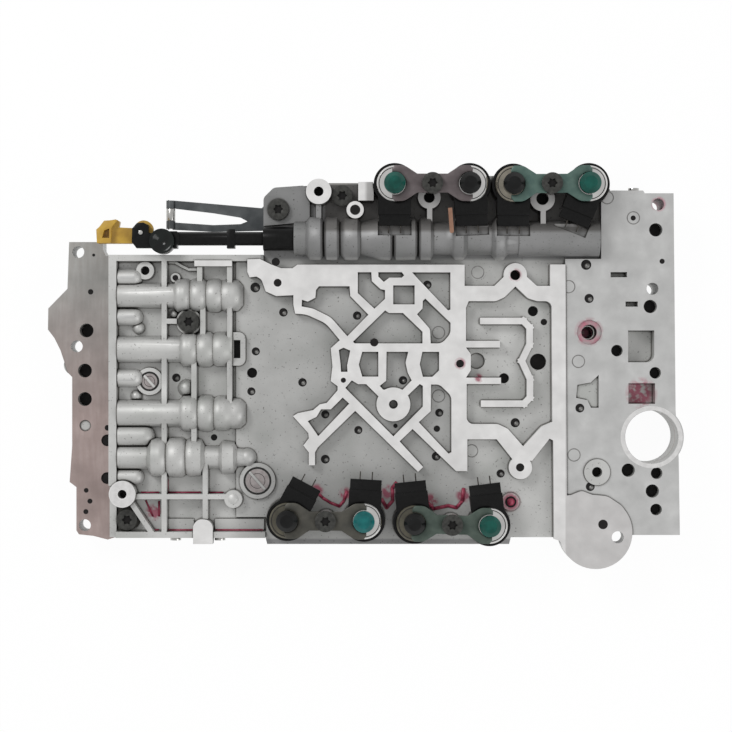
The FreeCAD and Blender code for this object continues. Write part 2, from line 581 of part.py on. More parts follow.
def lower_housing():
    """Lower casting with worm tracks in its gearbox face."""
    body = joined(ground_plan(0.0, LOWER_T), [drum(-173.0, 0.5, 5.6, 0.0, LOWER_T)])
    tools = through_tools(-1, LOWER_T + 1)
    tools += [slab(track, -1, CHANNEL_D) for track in TRACKS]
    tools += disc_tools(DEEP_PORTS, CHANNEL_D, LOWER_T + 1)
    tools.append(drum(CLAMP_SCREW[0], CLAMP_SCREW[1], SHANK_R, CHANNEL_D, LOWER_T + 1))
    tools.append(drum(SLEEVE_XY[0], SLEEVE_XY[1], SLEEVE_HOLE_R, RING_Z, LOWER_T + 1))
    tools.append(drum(SLEEVE_XY[0], SLEEVE_XY[1], SLEEVE_R + SEAT_GAP, SLEEVE_FLOOR, RING_Z))
    return body.cut(tools)


def separator_plate():
    """Steel plate between the castings, open to view along the left edge."""
    tools = through_tools(PLATE_Z - 1, HOUSING_Z + 1)
    tools += disc_tools(DEEP_PORTS + FLAT_PORTS, PLATE_Z - 1, HOUSING_Z + 1)
    tools.append(drum(SLEEVE_XY[0], SLEEVE_XY[1], SLEEVE_HOLE_R, PLATE_Z - 1, HOUSING_Z + 1))
    tools.append(spring_seat(PLATE_Z - 1, HOUSING_Z + 1))
    return ground_plan(PLATE_Z, HOUSING_Z).cut(tools)


def spool(y):
    """Valve spool with two lands, standing against its plug."""
    start = HOUSING_LEFT + PLUG_L + SPOOL_STAND
    land = BORE_R - RUN_CLEAR
    return turned([
        (start, land), (start + 14, land), (start + 14, SPOOL_WAIST_R), (start + 26, SPOOL_WAIST_R),
        (start + 26, land), (start + SPOOL_L, land)], y, BORE_Z)


def spool_spring(y, bore_end):
    """Coil spring from a spool to the end of its bore, as the sleeve that its coils fill."""
    start = vec(HOUSING_LEFT + PLUG_L + SPOOL_STAND + SPOOL_L + SEAT_GAP, y, BORE_Z)
    length = bore_end - SEAT_GAP - start.x
    hollow = Part.makeCylinder(SPRING_R - SPRING_WALL, length, start, vec(1, 0, 0))
    return Part.makeCylinder(SPRING_R, length, start, vec(1, 0, 0)).cut(hollow)


def bore_plugs():
    """One plug in the mouth of each valve bore."""
    plugs = []
    for y, end, skin in TOWERS:
        plugs.append(Part.makeCylinder(BORE_R - SEAT_GAP, PLUG_L, vec(HOUSING_LEFT, y, BORE_Z), vec(1, 0, 0)))
    return Part.makeCompound(plugs)


def selector_spool():
    """Selector valve spool with two waists, on the end of the rod."""
    land = SELECT_BORE_R - RUN_CLEAR
    profile = [(SELECT_LEFT + SELECT_OVERLAP, land)]
    for start, end in ((-14.0, 6.0), (24.0, 46.0)):
        profile += [(start, land), (start, SELECT_WAIST_R), (end, SELECT_WAIST_R), (end, land)]
    profile += [(SELECT_SPOOL_END, land)]
    return turned(profile, SELECT_Y, SELECT_Z)


def selector_rod():
    """Black plastic rod with its collar, the lug for the slider and the seat of the magnet holder."""
    rod = turned([(-113.0, ROD_R), (SELECT_LEFT + SELECT_OVERLAP, ROD_R)], SELECT_Y, SELECT_Z)
    collar = slab([(-81.0, 68.6), (-76.4, 68.6), (-76.4, 79.6), (-81.0, 79.6)],
                  SELECT_Z - 4.6, SELECT_Z + 4.6)
    lug = slab([(-133.5, 68.6), (-112.0, 68.6), (-108.5, 72.0), (-108.5, 77.4), (-126.5, 77.4),
                (-126.5, 82.0),
                (-129.5, 83.4), (-133.2, 83.2), (-136.0, 80.0), (-136.2, 72.0)],
               SELECT_Z + LUG_STEP, SELECT_Z + LUG_STEP + LUG_T)
    root = slab([(-123.9, 68.6), (-110.0, 68.6), (-110.0, 78.4), (-123.9, 78.4)],
                SELECT_Z - 6.0, SELECT_Z + LUG_STEP + LUG_T)
    body = joined(rod, [collar, lug, root])
    holder_seat = drum(HOLDER_XY[0], HOLDER_XY[1], HOLDER_R + SEAT_GAP, HOLDER_Z, SELECT_Z + 20)
    pin_hole = drum(COUPLING_XY[0], COUPLING_XY[1], COUPLING_PIN_R, SELECT_Z - 8, SELECT_Z + 20)
    return body.cut([holder_seat, pin_hole])


def magnet_holder():
    """Cup with a dished top that carries the position magnet."""
    low = HOLDER_Z + SEAT_GAP
    shell = drum(HOLDER_XY[0], HOLDER_XY[1], HOLDER_R, low, low + HOLDER_H)
    rim = low + HOLDER_H
    dish = upright([(rim - 2.6, 2.0), (rim, HOLDER_R - 1.2)], HOLDER_XY[0], HOLDER_XY[1])
    pocket = drum(HOLDER_XY[0], HOLDER_XY[1], MAGNET_R + SEAT_GAP, low, low + MAGNET_H)
    return shell.cut([dish, pocket])


def position_magnet():
    """Round magnet in the foot of its cup."""
    return drum(HOLDER_XY[0], HOLDER_XY[1], MAGNET_R, HOLDER_Z + SEAT_GAP, HOLDER_Z + SEAT_GAP + MAGNET_H)


def selector_slider():
    """Yellow plastic shoe that the gearbox lever moves, with its eye under the rod's lug."""
    top = SELECT_Z + LUG_STEP - SEAT_GAP
    plan = slab([(-156.6, 71.6), (-137.0, 71.6), (-134.5, 73.5), (-134.5, 80.4), (-144.4, 80.9),
                 (-143.8, 84.4),
                 (-146.0, 85.6), (-152.4, 84.6), (-155.2, 81.0), (-157.0, 79.4)], top - SLIDER_T, top)
    hook = slab([(-156.6, 71.6), (-148.6, 71.6), (-148.0, 80.6), (-144.8, 85.0), (-152.4, 84.6),
                 (-155.2, 81.0), (-157.0, 79.4)], top - 1, top + 4.0)
    recess = slab([(-153.6, 74.6), (-149.4, 74.6), (-149.4, 80.0), (-152.4, 79.0)], top - 1, top + 5.0)
    eye = drum(-129.8, 79.4, 5.6, top - SLIDER_T + 2, top)
    pin_hole = drum(COUPLING_XY[0], COUPLING_XY[1], COUPLING_PIN_R, top - 20, top + 20)
    return joined(plan, [hook, eye]).cut([recess, pin_hole])


def coupling_pin():
    """Pin through the rod's lug and the slider's eye."""
    return drum(COUPLING_XY[0], COUPLING_XY[1], COUPLING_PIN_R - SEAT_GAP, SELECT_Z - 6.0, SELECT_Z + 6.6)


def rod_guide():
    """Plastic sleeve that guides the rod into the barrel."""
    left = vec(SELECT_LEFT - GUIDE_L, SELECT_Y, SELECT_Z)
    outer = Part.makeCylinder(GUIDE_R, GUIDE_L - SEAT_GAP, left, vec(1, 0, 0))
    return outer.cut(Part.makeCylinder(ROD_R + RUN_CLEAR, GUIDE_L, left, vec(1, 0, 0)))


def detent_spring():
    """Forked leaf spring with an eye at the end of each arm."""
    low = LOWER_T + LEAF_GAP
    axis_z = low + LEAF_T / 2.0
    start = ROLLER_Y - ROLLER_L / 2.0 - EYE_GAP
    plan = slab([(-44.5, 81.6), (-44.5, 97.5), (-57.5, 97.5), (-61.5, 93.2), (-117.0, 98.0),
                 (-117.0, 93.4), (-90.0, 90.2),
                 (-74.0, 87.6), (-70.0, 85.4), (-74.0, 83.8), (-90.0, 83.2), (-111.0, 84.6), (-117.0, 85.2),
                 (-117.0, 80.6), (-90.0, 79.2), (-61.5, 79.8)], low, low + LEAF_T)
    eyes = [
        Part.makeCylinder(ROLLER_R, EYE_L, vec(ROLLER_X, start - EYE_L, axis_z), vec(0, 1, 0)),
        Part.makeCylinder(ROLLER_R, EYE_L, vec(ROLLER_X, start + ROLLER_L + 2 * EYE_GAP, axis_z),
                          vec(0, 1, 0)),
    ]
    bite = Part.makeBox(2 * ROLLER_R + 0.8, ROLLER_L + 2 * EYE_GAP, 2 * ROLLER_R + 0.8,
                        vec(ROLLER_X - ROLLER_R - 0.4, start, axis_z - ROLLER_R - 0.4))
    pin_hole = Part.makeCylinder(ROLLER_PIN_R, 40, vec(ROLLER_X, ROLLER_Y - 20, axis_z), vec(0, 1, 0))
    clamp_hole = drum(CLAMP_SCREW[0], CLAMP_SCREW[1], SHANK_R, low - 1, low + LEAF_T + 1)
    return joined(plan, eyes).cut([bite, pin_hole, clamp_hole])


def roller_pin():
    """Axle of the roller, from eye to eye."""
    length = ROLLER_L + 2 * (EYE_GAP + EYE_L)
    start = vec(ROLLER_X, ROLLER_Y - length / 2.0, LOWER_T + LEAF_GAP + LEAF_T / 2.0)
    return Part.makeCylinder(ROLLER_PIN_R - 0.02, length, start, vec(0, 1, 0))


def detent_roller():
    """Roller that drops into the notches of the gearbox's detent lever."""
    start = vec(ROLLER_X, ROLLER_Y - ROLLER_L / 2.0, LOWER_T + LEAF_GAP + LEAF_T / 2.0)
    bore = Part.makeCylinder(ROLLER_PIN_R + RUN_CLEAR, ROLLER_L, start, vec(0, 1, 0))
    return Part.makeCylinder(ROLLER_R, ROLLER_L, start, vec(0, 1, 0)).cut(bore)


def placed(shape, solenoid):
    """Turn a solenoid piece drawn at the origin, connector along +X, to its heading and place it."""
    x, y, heading = solenoid
    copy = shape.copy()
    copy.rotate(vec(0, 0, 0), vec(0, 0, 1), heading)
    copy.translate(vec(x, y, 0))
    return copy


def solenoid_can():
    """Deep-drawn steel can."""
    low = SOLENOID_Z
    return upright([(low, CAN_R), (low + CAN_H - CAN_EDGE, CAN_R), (low + CAN_H, CAN_R - CAN_EDGE)])


def solenoid_connector():
    """Black overmould: half a collar behind the can, and the stepped plug block in front of it."""
    low = SOLENOID_Z
    top = STRAP_Z - BLOCK_TO_STRAP
    half = BLOCK_W / 2.0
    collar = drum(0, 0, COLLAR_R, low, low + COLLAR_H)
    collar = collar.cut(slab([(8.0, -20), (20.0, -20), (20.0, 20), (8.0, 20)], low - 1, low + COLLAR_H + 1))
    block = slab([(2.0, -half), (BLOCK_STEP, -half), (BLOCK_STEP, half), (2.0, half)],
                 low + BLOCK_FOOT, top)
    step = slab([(BLOCK_STEP - 2, -half + 0.4), (BLOCK_FAR, -half + 0.4), (BLOCK_FAR, half - 0.4),
                 (BLOCK_STEP - 2, half - 0.4)], low + STEP_FOOT, top - STEP_DOWN)
    body = joined(collar, [block, step])
    return body.cut(drum(0, 0, CAN_R + SEAT_GAP, low - 1, low + CAN_H + 5))


def solenoid_cap():
    """Plastic cap on the can."""
    low = SOLENOID_Z + CAN_H
    return upright([(low, CAP_R), (low + CAP_H - 2.6, CAP_R), (low + CAP_H, CAP_R - 2.6)])


def contact_blades():
    """Two contact blades that stand out of the plug block."""
    low = SOLENOID_Z + STEP_FOOT + 1.0
    blades = []
    for middle in (-BLADE_PITCH / 2.0, BLADE_PITCH / 2.0):
        foot = vec(BLOCK_FAR + SEAT_GAP, middle - BLADE_T / 2.0, low)
        blades.append(Part.makeBox(BLADE_L, BLADE_T, BLADE_W, foot))
    return Part.makeCompound(blades)


def strap(first, second):
    """Bone-shaped strap across two cans, forked round each cap."""
    a = vec(first[0], first[1])
    b = vec(second[0], second[1])
    half = (b - a).Length / 2.0
    neck = STRAP_NECK / 2.0
    plan = slab([(-half, -CAN_R), (-half + 5.5, -CAN_R, 7.0), (-half + 13.0, -neck), (half - 13.0, -neck),
                 (half - 5.5, -CAN_R, 7.0), (half, -CAN_R), (half + STRAP_REACH, -CAN_R + 2.0),
                 (half + STRAP_REACH, CAN_R - 2.0), (half, CAN_R), (half - 5.5, CAN_R, 7.0),
                 (half - 13.0, neck), (-half + 13.0, neck), (-half + 5.5, CAN_R, 7.0), (-half, CAN_R),
                 (-half - STRAP_REACH, CAN_R - 2.0), (-half - STRAP_REACH, -CAN_R + 2.0)],
                STRAP_Z, STRAP_Z + STRAP_T)
    tools = [drum(0, 0, SHANK_R, STRAP_Z - 1, STRAP_Z + 9)]
    for side in (-1, 1):
        tools.append(drum(side * half, 0, CAP_R + CAP_GAP, STRAP_Z - 1, STRAP_Z + 9))
        inner = side * half - (14 if side < 0 else 0)
        tools.append(Part.makeBox(14, 2 * FORK_HALF, 10, vec(inner, -FORK_HALF, STRAP_Z - 1)))
    plan = plan.cut(tools)
    plan.rotate(vec(0, 0), vec(0, 0, 1), math.degrees(math.atan2(b.y - a.y, b.x - a.x)))
    plan.translate((a + b) * 0.5)
    return plan


def corner_bracket():
    """Dark sheet tab under the corner screw."""
    low = LOW_FLOOR_Z
    plan = slab([(-146.0, -96.6), (-134.6, -94.6), (-132.9, -91.8), (-135.5, -85.4), (-138.0, -83.2),
                 (-146.0, -83.5)], low, low + LEAF_T)
    return plan.cut(drum(CORNER_SCREW[0], CORNER_SCREW[1], SHANK_R, low - 1, low + 5))


def side_plugs():
    """Screw plugs in the front and rear edges."""
    middle = (HOUSING_Z + MID_FLOOR_Z) / 2.0
    plugs = []
    for x, y, heading in ((-112.0, -100.5, -1), (-86.0, -100.5, -1), (157.5, 102.6, 1)):
        plugs.append(Part.makeCylinder(SIDE_PLUG_R, SIDE_PLUG_L, vec(x, y, middle), vec(0, heading, 0)))
    return Part.makeCompound(plugs)


def tube_sleeve():
    """Thin steel sleeve that stands in the shelf's round opening."""
    return tube(SLEEVE_XY[0], SLEEVE_XY[1], SLEEVE_R, SLEEVE_R - SLEEVE_WALL,
                SLEEVE_FLOOR, SLEEVE_FLOOR + SLEEVE_L)


def sleeve_seal():
    """Red rubber ring round the sleeve."""
    return tube(SLEEVE_XY[0], SLEEVE_XY[1], SLEEVE_HOLE_R - SEAT_GAP, SLEEVE_R + SEAT_GAP,
                RING_Z, RING_Z + RING_T)


def save(name, shape):
    shape.exportStep("parts/" + name + ".step")


os.makedirs("parts", exist_ok=True)

save("lower_housing", lower_housing())
save("separator_plate", separator_plate())
save("valve_housing", valve_housing())

for number, tower in enumerate(TOWERS, 1):
    save("regulator_spool_%d" % number, spool(tower[0]))
    save("spool_spring_%d" % number, spool_spring(tower[0], tower[1]))
save("bore_plugs", bore_plugs())

save("selector_spool", selector_spool())
save("selector_rod", selector_rod())
save("magnet_holder", magnet_holder())
save("position_magnet", position_magnet())
save("selector_slider", selector_slider())
save("coupling_pin", coupling_pin())
save("rod_guide", rod_guide())

save("detent_spring", detent_spring())
save("roller_pin", roller_pin())
save("detent_roller", detent_roller())

can = solenoid_can()
connector = solenoid_connector()
cap = solenoid_cap()
blades = contact_blades()
blade_group = []
for number, solenoid in enumerate(SOLENOIDS, 1):
    save("solenoid_can_%d" % number, placed(can, solenoid))
    save("solenoid_connector_%d" % number, placed(connector, solenoid))
    save("solenoid_cap_%d" % number, placed(cap, solenoid))
    blade_group += placed(blades, solenoid).Solids
save("contact_blades", Part.makeCompound(blade_group))

strap_screws = []
for number, (first, second) in enumerate(STRAP_PAIRS, 1):
    one = SOLENOIDS[first]
    two = SOLENOIDS[second]
    save("strap_%d" % number, strap(one, two))
    strap_screws.append(screw((one[0] + two[0]) / 2.0, (one[1] + two[1]) / 2.0, STRAP_Z + STRAP_T))
save("strap_screws", Part.makeCompound(strap_screws))

casting_screws = [screw(x, y, seat, seat - HOUSING_Z) for x, y, seat in HOUSING_SCREWS]
casting_screws.append(screw(CLAMP_SCREW[0], CLAMP_SCREW[1], CLAMP_SCREW[2], CLAMP_SCREW[2] - CHANNEL_D - 1.0))
save("housing_screws", Part.makeCompound(casting_screws))
save("corner_bracket", corner_bracket())
save("corner_screw", screw(CORNER_SCREW[0], CORNER_SCREW[1], CORNER_SCREW[2], CORNER_SCREW[2] - HOUSING_Z))
save("side_plugs", side_plugs())
save("tube_sleeve", tube_sleeve())
save("sleeve_seal", sleeve_seal())
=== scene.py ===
import math

import bmesh
import bpy
from mathutils import Matrix, Vector


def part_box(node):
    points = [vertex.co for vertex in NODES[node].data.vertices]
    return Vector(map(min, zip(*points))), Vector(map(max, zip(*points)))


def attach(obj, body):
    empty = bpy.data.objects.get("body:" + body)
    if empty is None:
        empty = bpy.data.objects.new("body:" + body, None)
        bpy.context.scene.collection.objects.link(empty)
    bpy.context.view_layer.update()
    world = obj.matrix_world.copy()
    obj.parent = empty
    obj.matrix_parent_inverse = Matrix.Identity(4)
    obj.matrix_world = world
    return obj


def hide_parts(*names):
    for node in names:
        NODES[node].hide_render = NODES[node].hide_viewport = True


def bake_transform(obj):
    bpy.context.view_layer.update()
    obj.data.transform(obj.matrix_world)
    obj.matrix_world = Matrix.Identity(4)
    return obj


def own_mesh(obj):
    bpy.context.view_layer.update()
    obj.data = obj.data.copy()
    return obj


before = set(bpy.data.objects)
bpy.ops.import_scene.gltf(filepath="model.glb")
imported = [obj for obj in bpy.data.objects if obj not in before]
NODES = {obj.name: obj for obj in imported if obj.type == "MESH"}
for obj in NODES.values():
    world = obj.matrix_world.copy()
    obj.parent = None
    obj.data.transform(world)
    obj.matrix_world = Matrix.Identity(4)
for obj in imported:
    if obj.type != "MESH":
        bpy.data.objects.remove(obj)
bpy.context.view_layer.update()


# Cast aluminium housing
# Upper and lower castings of die cast aluminium-silicon alloy, matt and finely pitted from
# the mould, with their sealing lands, shelf and bosses milled flat and bright.

MM = 0.001

# Heights of the milled faces, and how near a surface has to be to count, in millimetres
LANDS = 34.0
SHELF = 32.5
LEFT_BOSS_TOP = 36.0
PADS = 40.0
LEVEL_REACH = 0.1
LEVEL_SOFT = 0.05

# Parts of the casting seen from above, in metres: left, right, front and back, then how softly they
# begin and end in x and in y. A band has two limits, in y for the pads and the skirt and in x for
# the rest, and one softness.
VALVE_TOWERS = (-0.2, -0.0705, -0.088, 0.0565, 0.0003, 0.0003)
BARREL_REAR_SHADE = (-0.024, 0.1372, 0.078, 0.107, 0.0005, 0.001)
LEFT_GROOVE = (-0.1458, -0.1452, -0.07, 0.061, 0.0003, 0.001)
BARREL_END = (0.03, 0.3, 0.0625, 0.107, 0.008, 0.001)
REAR_LEDGE = (-0.0615, 0.1372, 0.0625, 0.107, 0.0005, 0.001)
LEFT_BOSS = (-0.2, -0.134, 0.0003)
REAR_PADS = (0.081, 0.2, 0.0003)
MIDDLE_FLOOR = (-0.0715, 0.05, 0.008)
FRONT_SKIRT = (-0.1045, -0.1015, 0.0005)
RIGHT_SHELF = (0.1165, 0.3, 0.0004)
DULL_PAD = 0.45
# How far from a corner its painted shade reaches, in millimetres
CORNER_REACH = 1.6

# Red sealant tints: centre x, y and radius, in millimetres
STAINS = [
    (55, 1.5, 3.8), (87.2, 53.1, 4.2), (161, -16, 10), (130.4, 20, 9), (171, 94.7, 4.8),
    (-29, -73, 4.5), (-12, -75, 4.5), (13, -74, 5), (38, -79, 5), (57, -76, 5), (-125, -86, 5.5),
    (66, -7, 3), (84.8, -79.6, 6.5),
]
STAIN_CORE = 0.55
STAIN_STRENGTH = 0.8

# Settings of the nodes that join masks and colours
TIMES = {"operation": "MULTIPLY"}
LARGER = {"operation": "MAXIMUM"}
COVER = {"data_type": "RGBA"}
TINT = {"data_type": "RGBA", "blend_type": "MULTIPLY", "at:0": 1.0}


def srgb(code):
    """A colour written as sRGB hex, as linear RGBA."""
    parts = [int(code[i:i + 2], 16) / 255.0 for i in (1, 3, 5)]
    return tuple(c / 12.92 if c <= 0.04045 else ((c + 0.055) / 1.055) ** 2.4 for c in parts) + (1.0,)


def add(tree, kind, settings=None, output=0, **links):
    """Adds a node, sets it, joins the sockets given as links, and returns one of its outputs.

    In settings, "in:NAME" and "at:NUMBER" are inputs and "stops" are a ramp's places and hex colours. A
    link is an input's name with _ for a space, or _ and its number. A colour mix has 0 for its mask, 6
    and 7 for its colours, and output 2 for the mixed colour.
    """
    node = tree.nodes.new(kind)
    for key, value in (settings or {}).items():
        if key == "stops":
            elements = node.color_ramp.elements
            elements[0].position, elements[0].color = value[0][0], srgb(value[0][1])
            elements[1].position, elements[1].color = value[-1][0], srgb(value[-1][1])
            for place, code in value[1:-1]:
                elements.new(place).color = srgb(code)
        elif key.startswith("in:"):
            node.inputs[key[3:]].default_value = value
        elif key.startswith("at:"):
            node.inputs[int(key[3:])].default_value = value
        else:
            setattr(node, key, value)
    for key, source in links.items():
        socket = node.inputs[int(key[1:])] if key[0] == "_" else node.inputs[key.replace("_", " ")]
        tree.links.new(source, socket)
    return node.outputs[output]


def surface(name, metallic, roughness, **sockets):
    """A new material with its shader, and the object coordinates that its pattern reads."""
    material = bpy.data.materials.new(name)
    material.use_nodes = True
    tree = material.node_tree
    shader = tree.nodes["Principled BSDF"]
    shader.inputs["Metallic"].default_value = metallic
    shader.inputs["Roughness"].default_value = roughness
    for key, value in sockets.items():
        shader.inputs[key.replace("_", " ")].default_value = value
    return material, tree, shader, add(tree, "ShaderNodeTexCoord", output="Object")


def grain(tree, coords, size_mm, detail=3.0, stretch=(1.0, 1.0, 1.0)):
    """Cloudy pattern whose grains are about size_mm across."""
    scaled = add(tree, "ShaderNodeMapping", {"in:Scale": stretch}, Vector=coords)
    return add(tree, "ShaderNodeTexNoise", {"in:Scale": 1.0 / (size_mm * MM), "in:Detail": detail},
               Vector=scaled)


def between(tree, value, low, high, soft):
    """1 where a value lies between two limits, with soft edges."""
    rise = add(tree, "ShaderNodeMapRange", {"in:From Min": low - soft, "in:From Max": low + soft},
               Value=value)
    fall = add(tree, "ShaderNodeMapRange",
               {"in:From Min": high - soft, "in:From Max": high + soft,
                "in:To Min": 1.0, "in:To Max": 0.0}, Value=value)
    return add(tree, "ShaderNodeMath", TIMES, _0=rise, _1=fall)


def zone(tree, x, y, limits):
    """1 inside a rectangle seen from above."""
    left, right, front, back, soft_x, soft_y = limits
    return add(tree, "ShaderNodeMath", TIMES, _0=between(tree, x, left, right, soft_x),
               _1=between(tree, y, front, back, soft_y))


def at_height(tree, z, height):
    """1 on surfaces at a height."""
    return between(tree, z, (height - LEVEL_REACH) * MM, (height + LEVEL_REACH) * MM, LEVEL_SOFT * MM)


def upward(tree):
    """1 on faces that look up."""
    normal = add(tree, "ShaderNodeNewGeometry", output="True Normal")
    lean = add(tree, "ShaderNodeSeparateXYZ", output="Z", Vector=normal)
    return add(tree, "ShaderNodeMapRange", {"in:From Min": 0.9, "in:From Max": 0.97}, Value=lean)


def land_faces(tree, x, y, z):
    """1 on the milled lands, boss and pads, kept off the round towers and weaker on the right pads."""
    clear = add(tree, "ShaderNodeMath", {"operation": "SUBTRACT", "at:0": 1.0},
                _1=zone(tree, x, y, VALVE_TOWERS))
    lands = add(tree, "ShaderNodeMath", TIMES, _0=at_height(tree, z, LANDS), _1=clear)
    boss = add(tree, "ShaderNodeMath", TIMES, _0=at_height(tree, z, LEFT_BOSS_TOP),
               _1=between(tree, x, *LEFT_BOSS))
    pads = add(tree, "ShaderNodeMath", TIMES, _0=at_height(tree, z, PADS),
               _1=between(tree, y, *REAR_PADS))
    duller = add(tree, "ShaderNodeMapRange",
                 {"in:From Min": -MM, "in:From Max": MM, "in:To Min": 1.0, "in:To Max": DULL_PAD},
                 Value=x)
    dull_pads = add(tree, "ShaderNodeMath", TIMES, _0=pads, _1=duller)
    milled = add(tree, "ShaderNodeMath", LARGER, _0=lands, _1=boss)
    return add(tree, "ShaderNodeMath", LARGER, _0=milled, _1=dull_pads)


def red_tint(tree, coords):
    """1 where the red sealant has run, in broken patches."""
    stain = None
    for sx, sy, radius in STAINS:
        away = add(tree, "ShaderNodeVectorMath",
                   {"operation": "SUBTRACT", "at:1": (sx * MM, sy * MM, 0.0)}, _0=coords)
        flat = add(tree, "ShaderNodeVectorMath",
                   {"operation": "MULTIPLY", "at:1": (1.0, 1.0, 0.0)}, _0=away)
        length = add(tree, "ShaderNodeVectorMath", {"operation": "LENGTH"}, output="Value", _0=flat)
        near = add(tree, "ShaderNodeMapRange",
                   {"in:From Min": radius * MM * STAIN_CORE, "in:From Max": radius * MM,
                    "in:To Min": STAIN_STRENGTH, "in:To Max": 0.0}, Value=length)
        stain = near if stain is None else add(tree, "ShaderNodeMath", LARGER, _0=stain, _1=near)
    patches = add(tree, "ShaderNodeMapRange", {"in:From Min": 0.38, "in:From Max": 0.52},
                  Value=grain(tree, coords, 3.5, 4.0))
    return add(tree, "ShaderNodeMath", TIMES, _0=stain, _1=patches)


def tinted(tree, colour, mask, code):
    """A colour multiplied by another, from none of it where the mask is 0 to all of it where it is 1."""
    tint = add(tree, "ShaderNodeValToRGB", {"stops": [(0.0, "#ffffff"), (1.0, code)]}, Fac=mask)
    return add(tree, "ShaderNodeMix", TINT, output=2, _6=colour, _7=tint)


def cast_aluminium():
    """Cast skin in cool light grey clouds with dark pits, brighter where milled, with painted shade in
    corners, the left groove and behind the barrel.
    """
    material, tree, shader, coords = surface("die_cast_aluminium", 0.5, 0.5)
    x, y, z = (add(tree, "ShaderNodeSeparateXYZ", output=axis, Vector=coords) for axis in "XYZ")
    cloud = grain(tree, coords, 24.0)
    milled_cloud = grain(tree, coords, 10.0, 5.0)
    up = upward(tree)

    # As cast: pitted, with painted shade behind the barrel and in the left groove, and a little darker on
    # the middle floor, the barrel's end, the rear ledge and the front skirt. The pits are drawn about 1
    # mm apart, coarser than the real ones, which are too fine to show.
    skin = add(tree, "ShaderNodeValToRGB",
               {"stops": [(0.28, "#b2b3b0"), (0.5, "#bfbfbd"), (0.72, "#cbcbc9")]}, Fac=cloud)
    pits = add(tree, "ShaderNodeValToRGB", {"stops": [(0.66, "#ffffff"), (0.75, "#8e8c89")]},
               Fac=grain(tree, coords, 1.1, 2.0))
    skin = add(tree, "ShaderNodeMix", TINT, output=2, _6=skin, _7=pits)
    # Painted shade behind the barrel, between it and the solenoids, and in the left groove
    rear_and_groove_shade = add(tree, "ShaderNodeMath", LARGER, _0=zone(tree, x, y, BARREL_REAR_SHADE),
               _1=zone(tree, x, y, LEFT_GROOVE))
    skin = tinted(tree, skin, rear_and_groove_shade, "#bdbab7")
    floors = add(tree, "ShaderNodeMath", LARGER, _0=between(tree, x, *MIDDLE_FLOOR),
                 _1=zone(tree, x, y, BARREL_END))
    skin = tinted(tree, skin, floors, "#e4e4e4")
    edges = add(tree, "ShaderNodeMath", LARGER, _0=zone(tree, x, y, REAR_LEDGE),
                _1=between(tree, y, *FRONT_SKIRT))
    skin = tinted(tree, skin, edges, "#cdcdcf")

    # Milled: the shelf duller than the lands, and the lands duller past the shelf's edge
    shelf_tone = add(tree, "ShaderNodeValToRGB",
                     {"stops": [(0.3, "#b3b3b2"), (0.6, "#bfbfbe"), (0.8, "#cacac9")]}, Fac=milled_cloud)
    shelf = add(tree, "ShaderNodeMath", TIMES, _0=at_height(tree, z, SHELF), _1=up)
    colour = add(tree, "ShaderNodeMix", COVER, output=2, _0=shelf, _6=skin, _7=shelf_tone)
    milled = add(tree, "ShaderNodeValToRGB",
                 {"stops": [(0.3, "#d3d2d1"), (0.55, "#dddcdb"), (0.75, "#e6e5e4")]}, Fac=milled_cloud)
    milled = tinted(tree, milled, between(tree, x, *RIGHT_SHELF), "#e2e1e1")
    lands = add(tree, "ShaderNodeMath", TIMES, _0=land_faces(tree, x, y, z), _1=up)
    colour = add(tree, "ShaderNodeMix", COVER, output=2, _0=lands, _6=colour, _7=milled)

    # Red sealant, and painted shade in the corners
    red = add(tree, "ShaderNodeValToRGB", {"stops": [(0.3, "#8a2340"), (0.7, "#b2486a")]}, Fac=cloud)
    colour = add(tree, "ShaderNodeMix", COVER, output=2, _0=red_tint(tree, coords), _6=colour, _7=red)
    # Painted shade: darker where little open air is near, in corners and at the feet of ribs and towers
    open_air = add(tree, "ShaderNodeAmbientOcclusion",
                   {"samples": 8, "in:Distance": CORNER_REACH * MM}, output="AO")
    corner_shade = add(tree, "ShaderNodeValToRGB",
               {"stops": [(0.4, "#3f3d3b"), (0.65, "#a9a7a4"), (0.88, "#ffffff")]}, Fac=open_air)
    colour = add(tree, "ShaderNodeMix", TINT, output=2, _6=colour, _7=corner_shade)
    tree.links.new(colour, shader.inputs["Base Color"])

    rough = add(tree, "ShaderNodeMapRange", {"in:To Min": 0.4, "in:To Max": 0.6},
                Value=grain(tree, coords, 5.0, 4.0))
    tree.links.new(rough, shader.inputs["Roughness"])
    bump = add(tree, "ShaderNodeBump", {"in:Distance": 0.06 * MM, "in:Strength": 0.7},
               Height=grain(tree, coords, 0.9, 4.0))
    tree.links.new(bump, shader.inputs["Normal"])
    return material


# Degrees between two faces: an edge is softened from the first on and shaded smooth under the second
SOFTEN_FROM = 40
SMOOTH_UNDER = 50


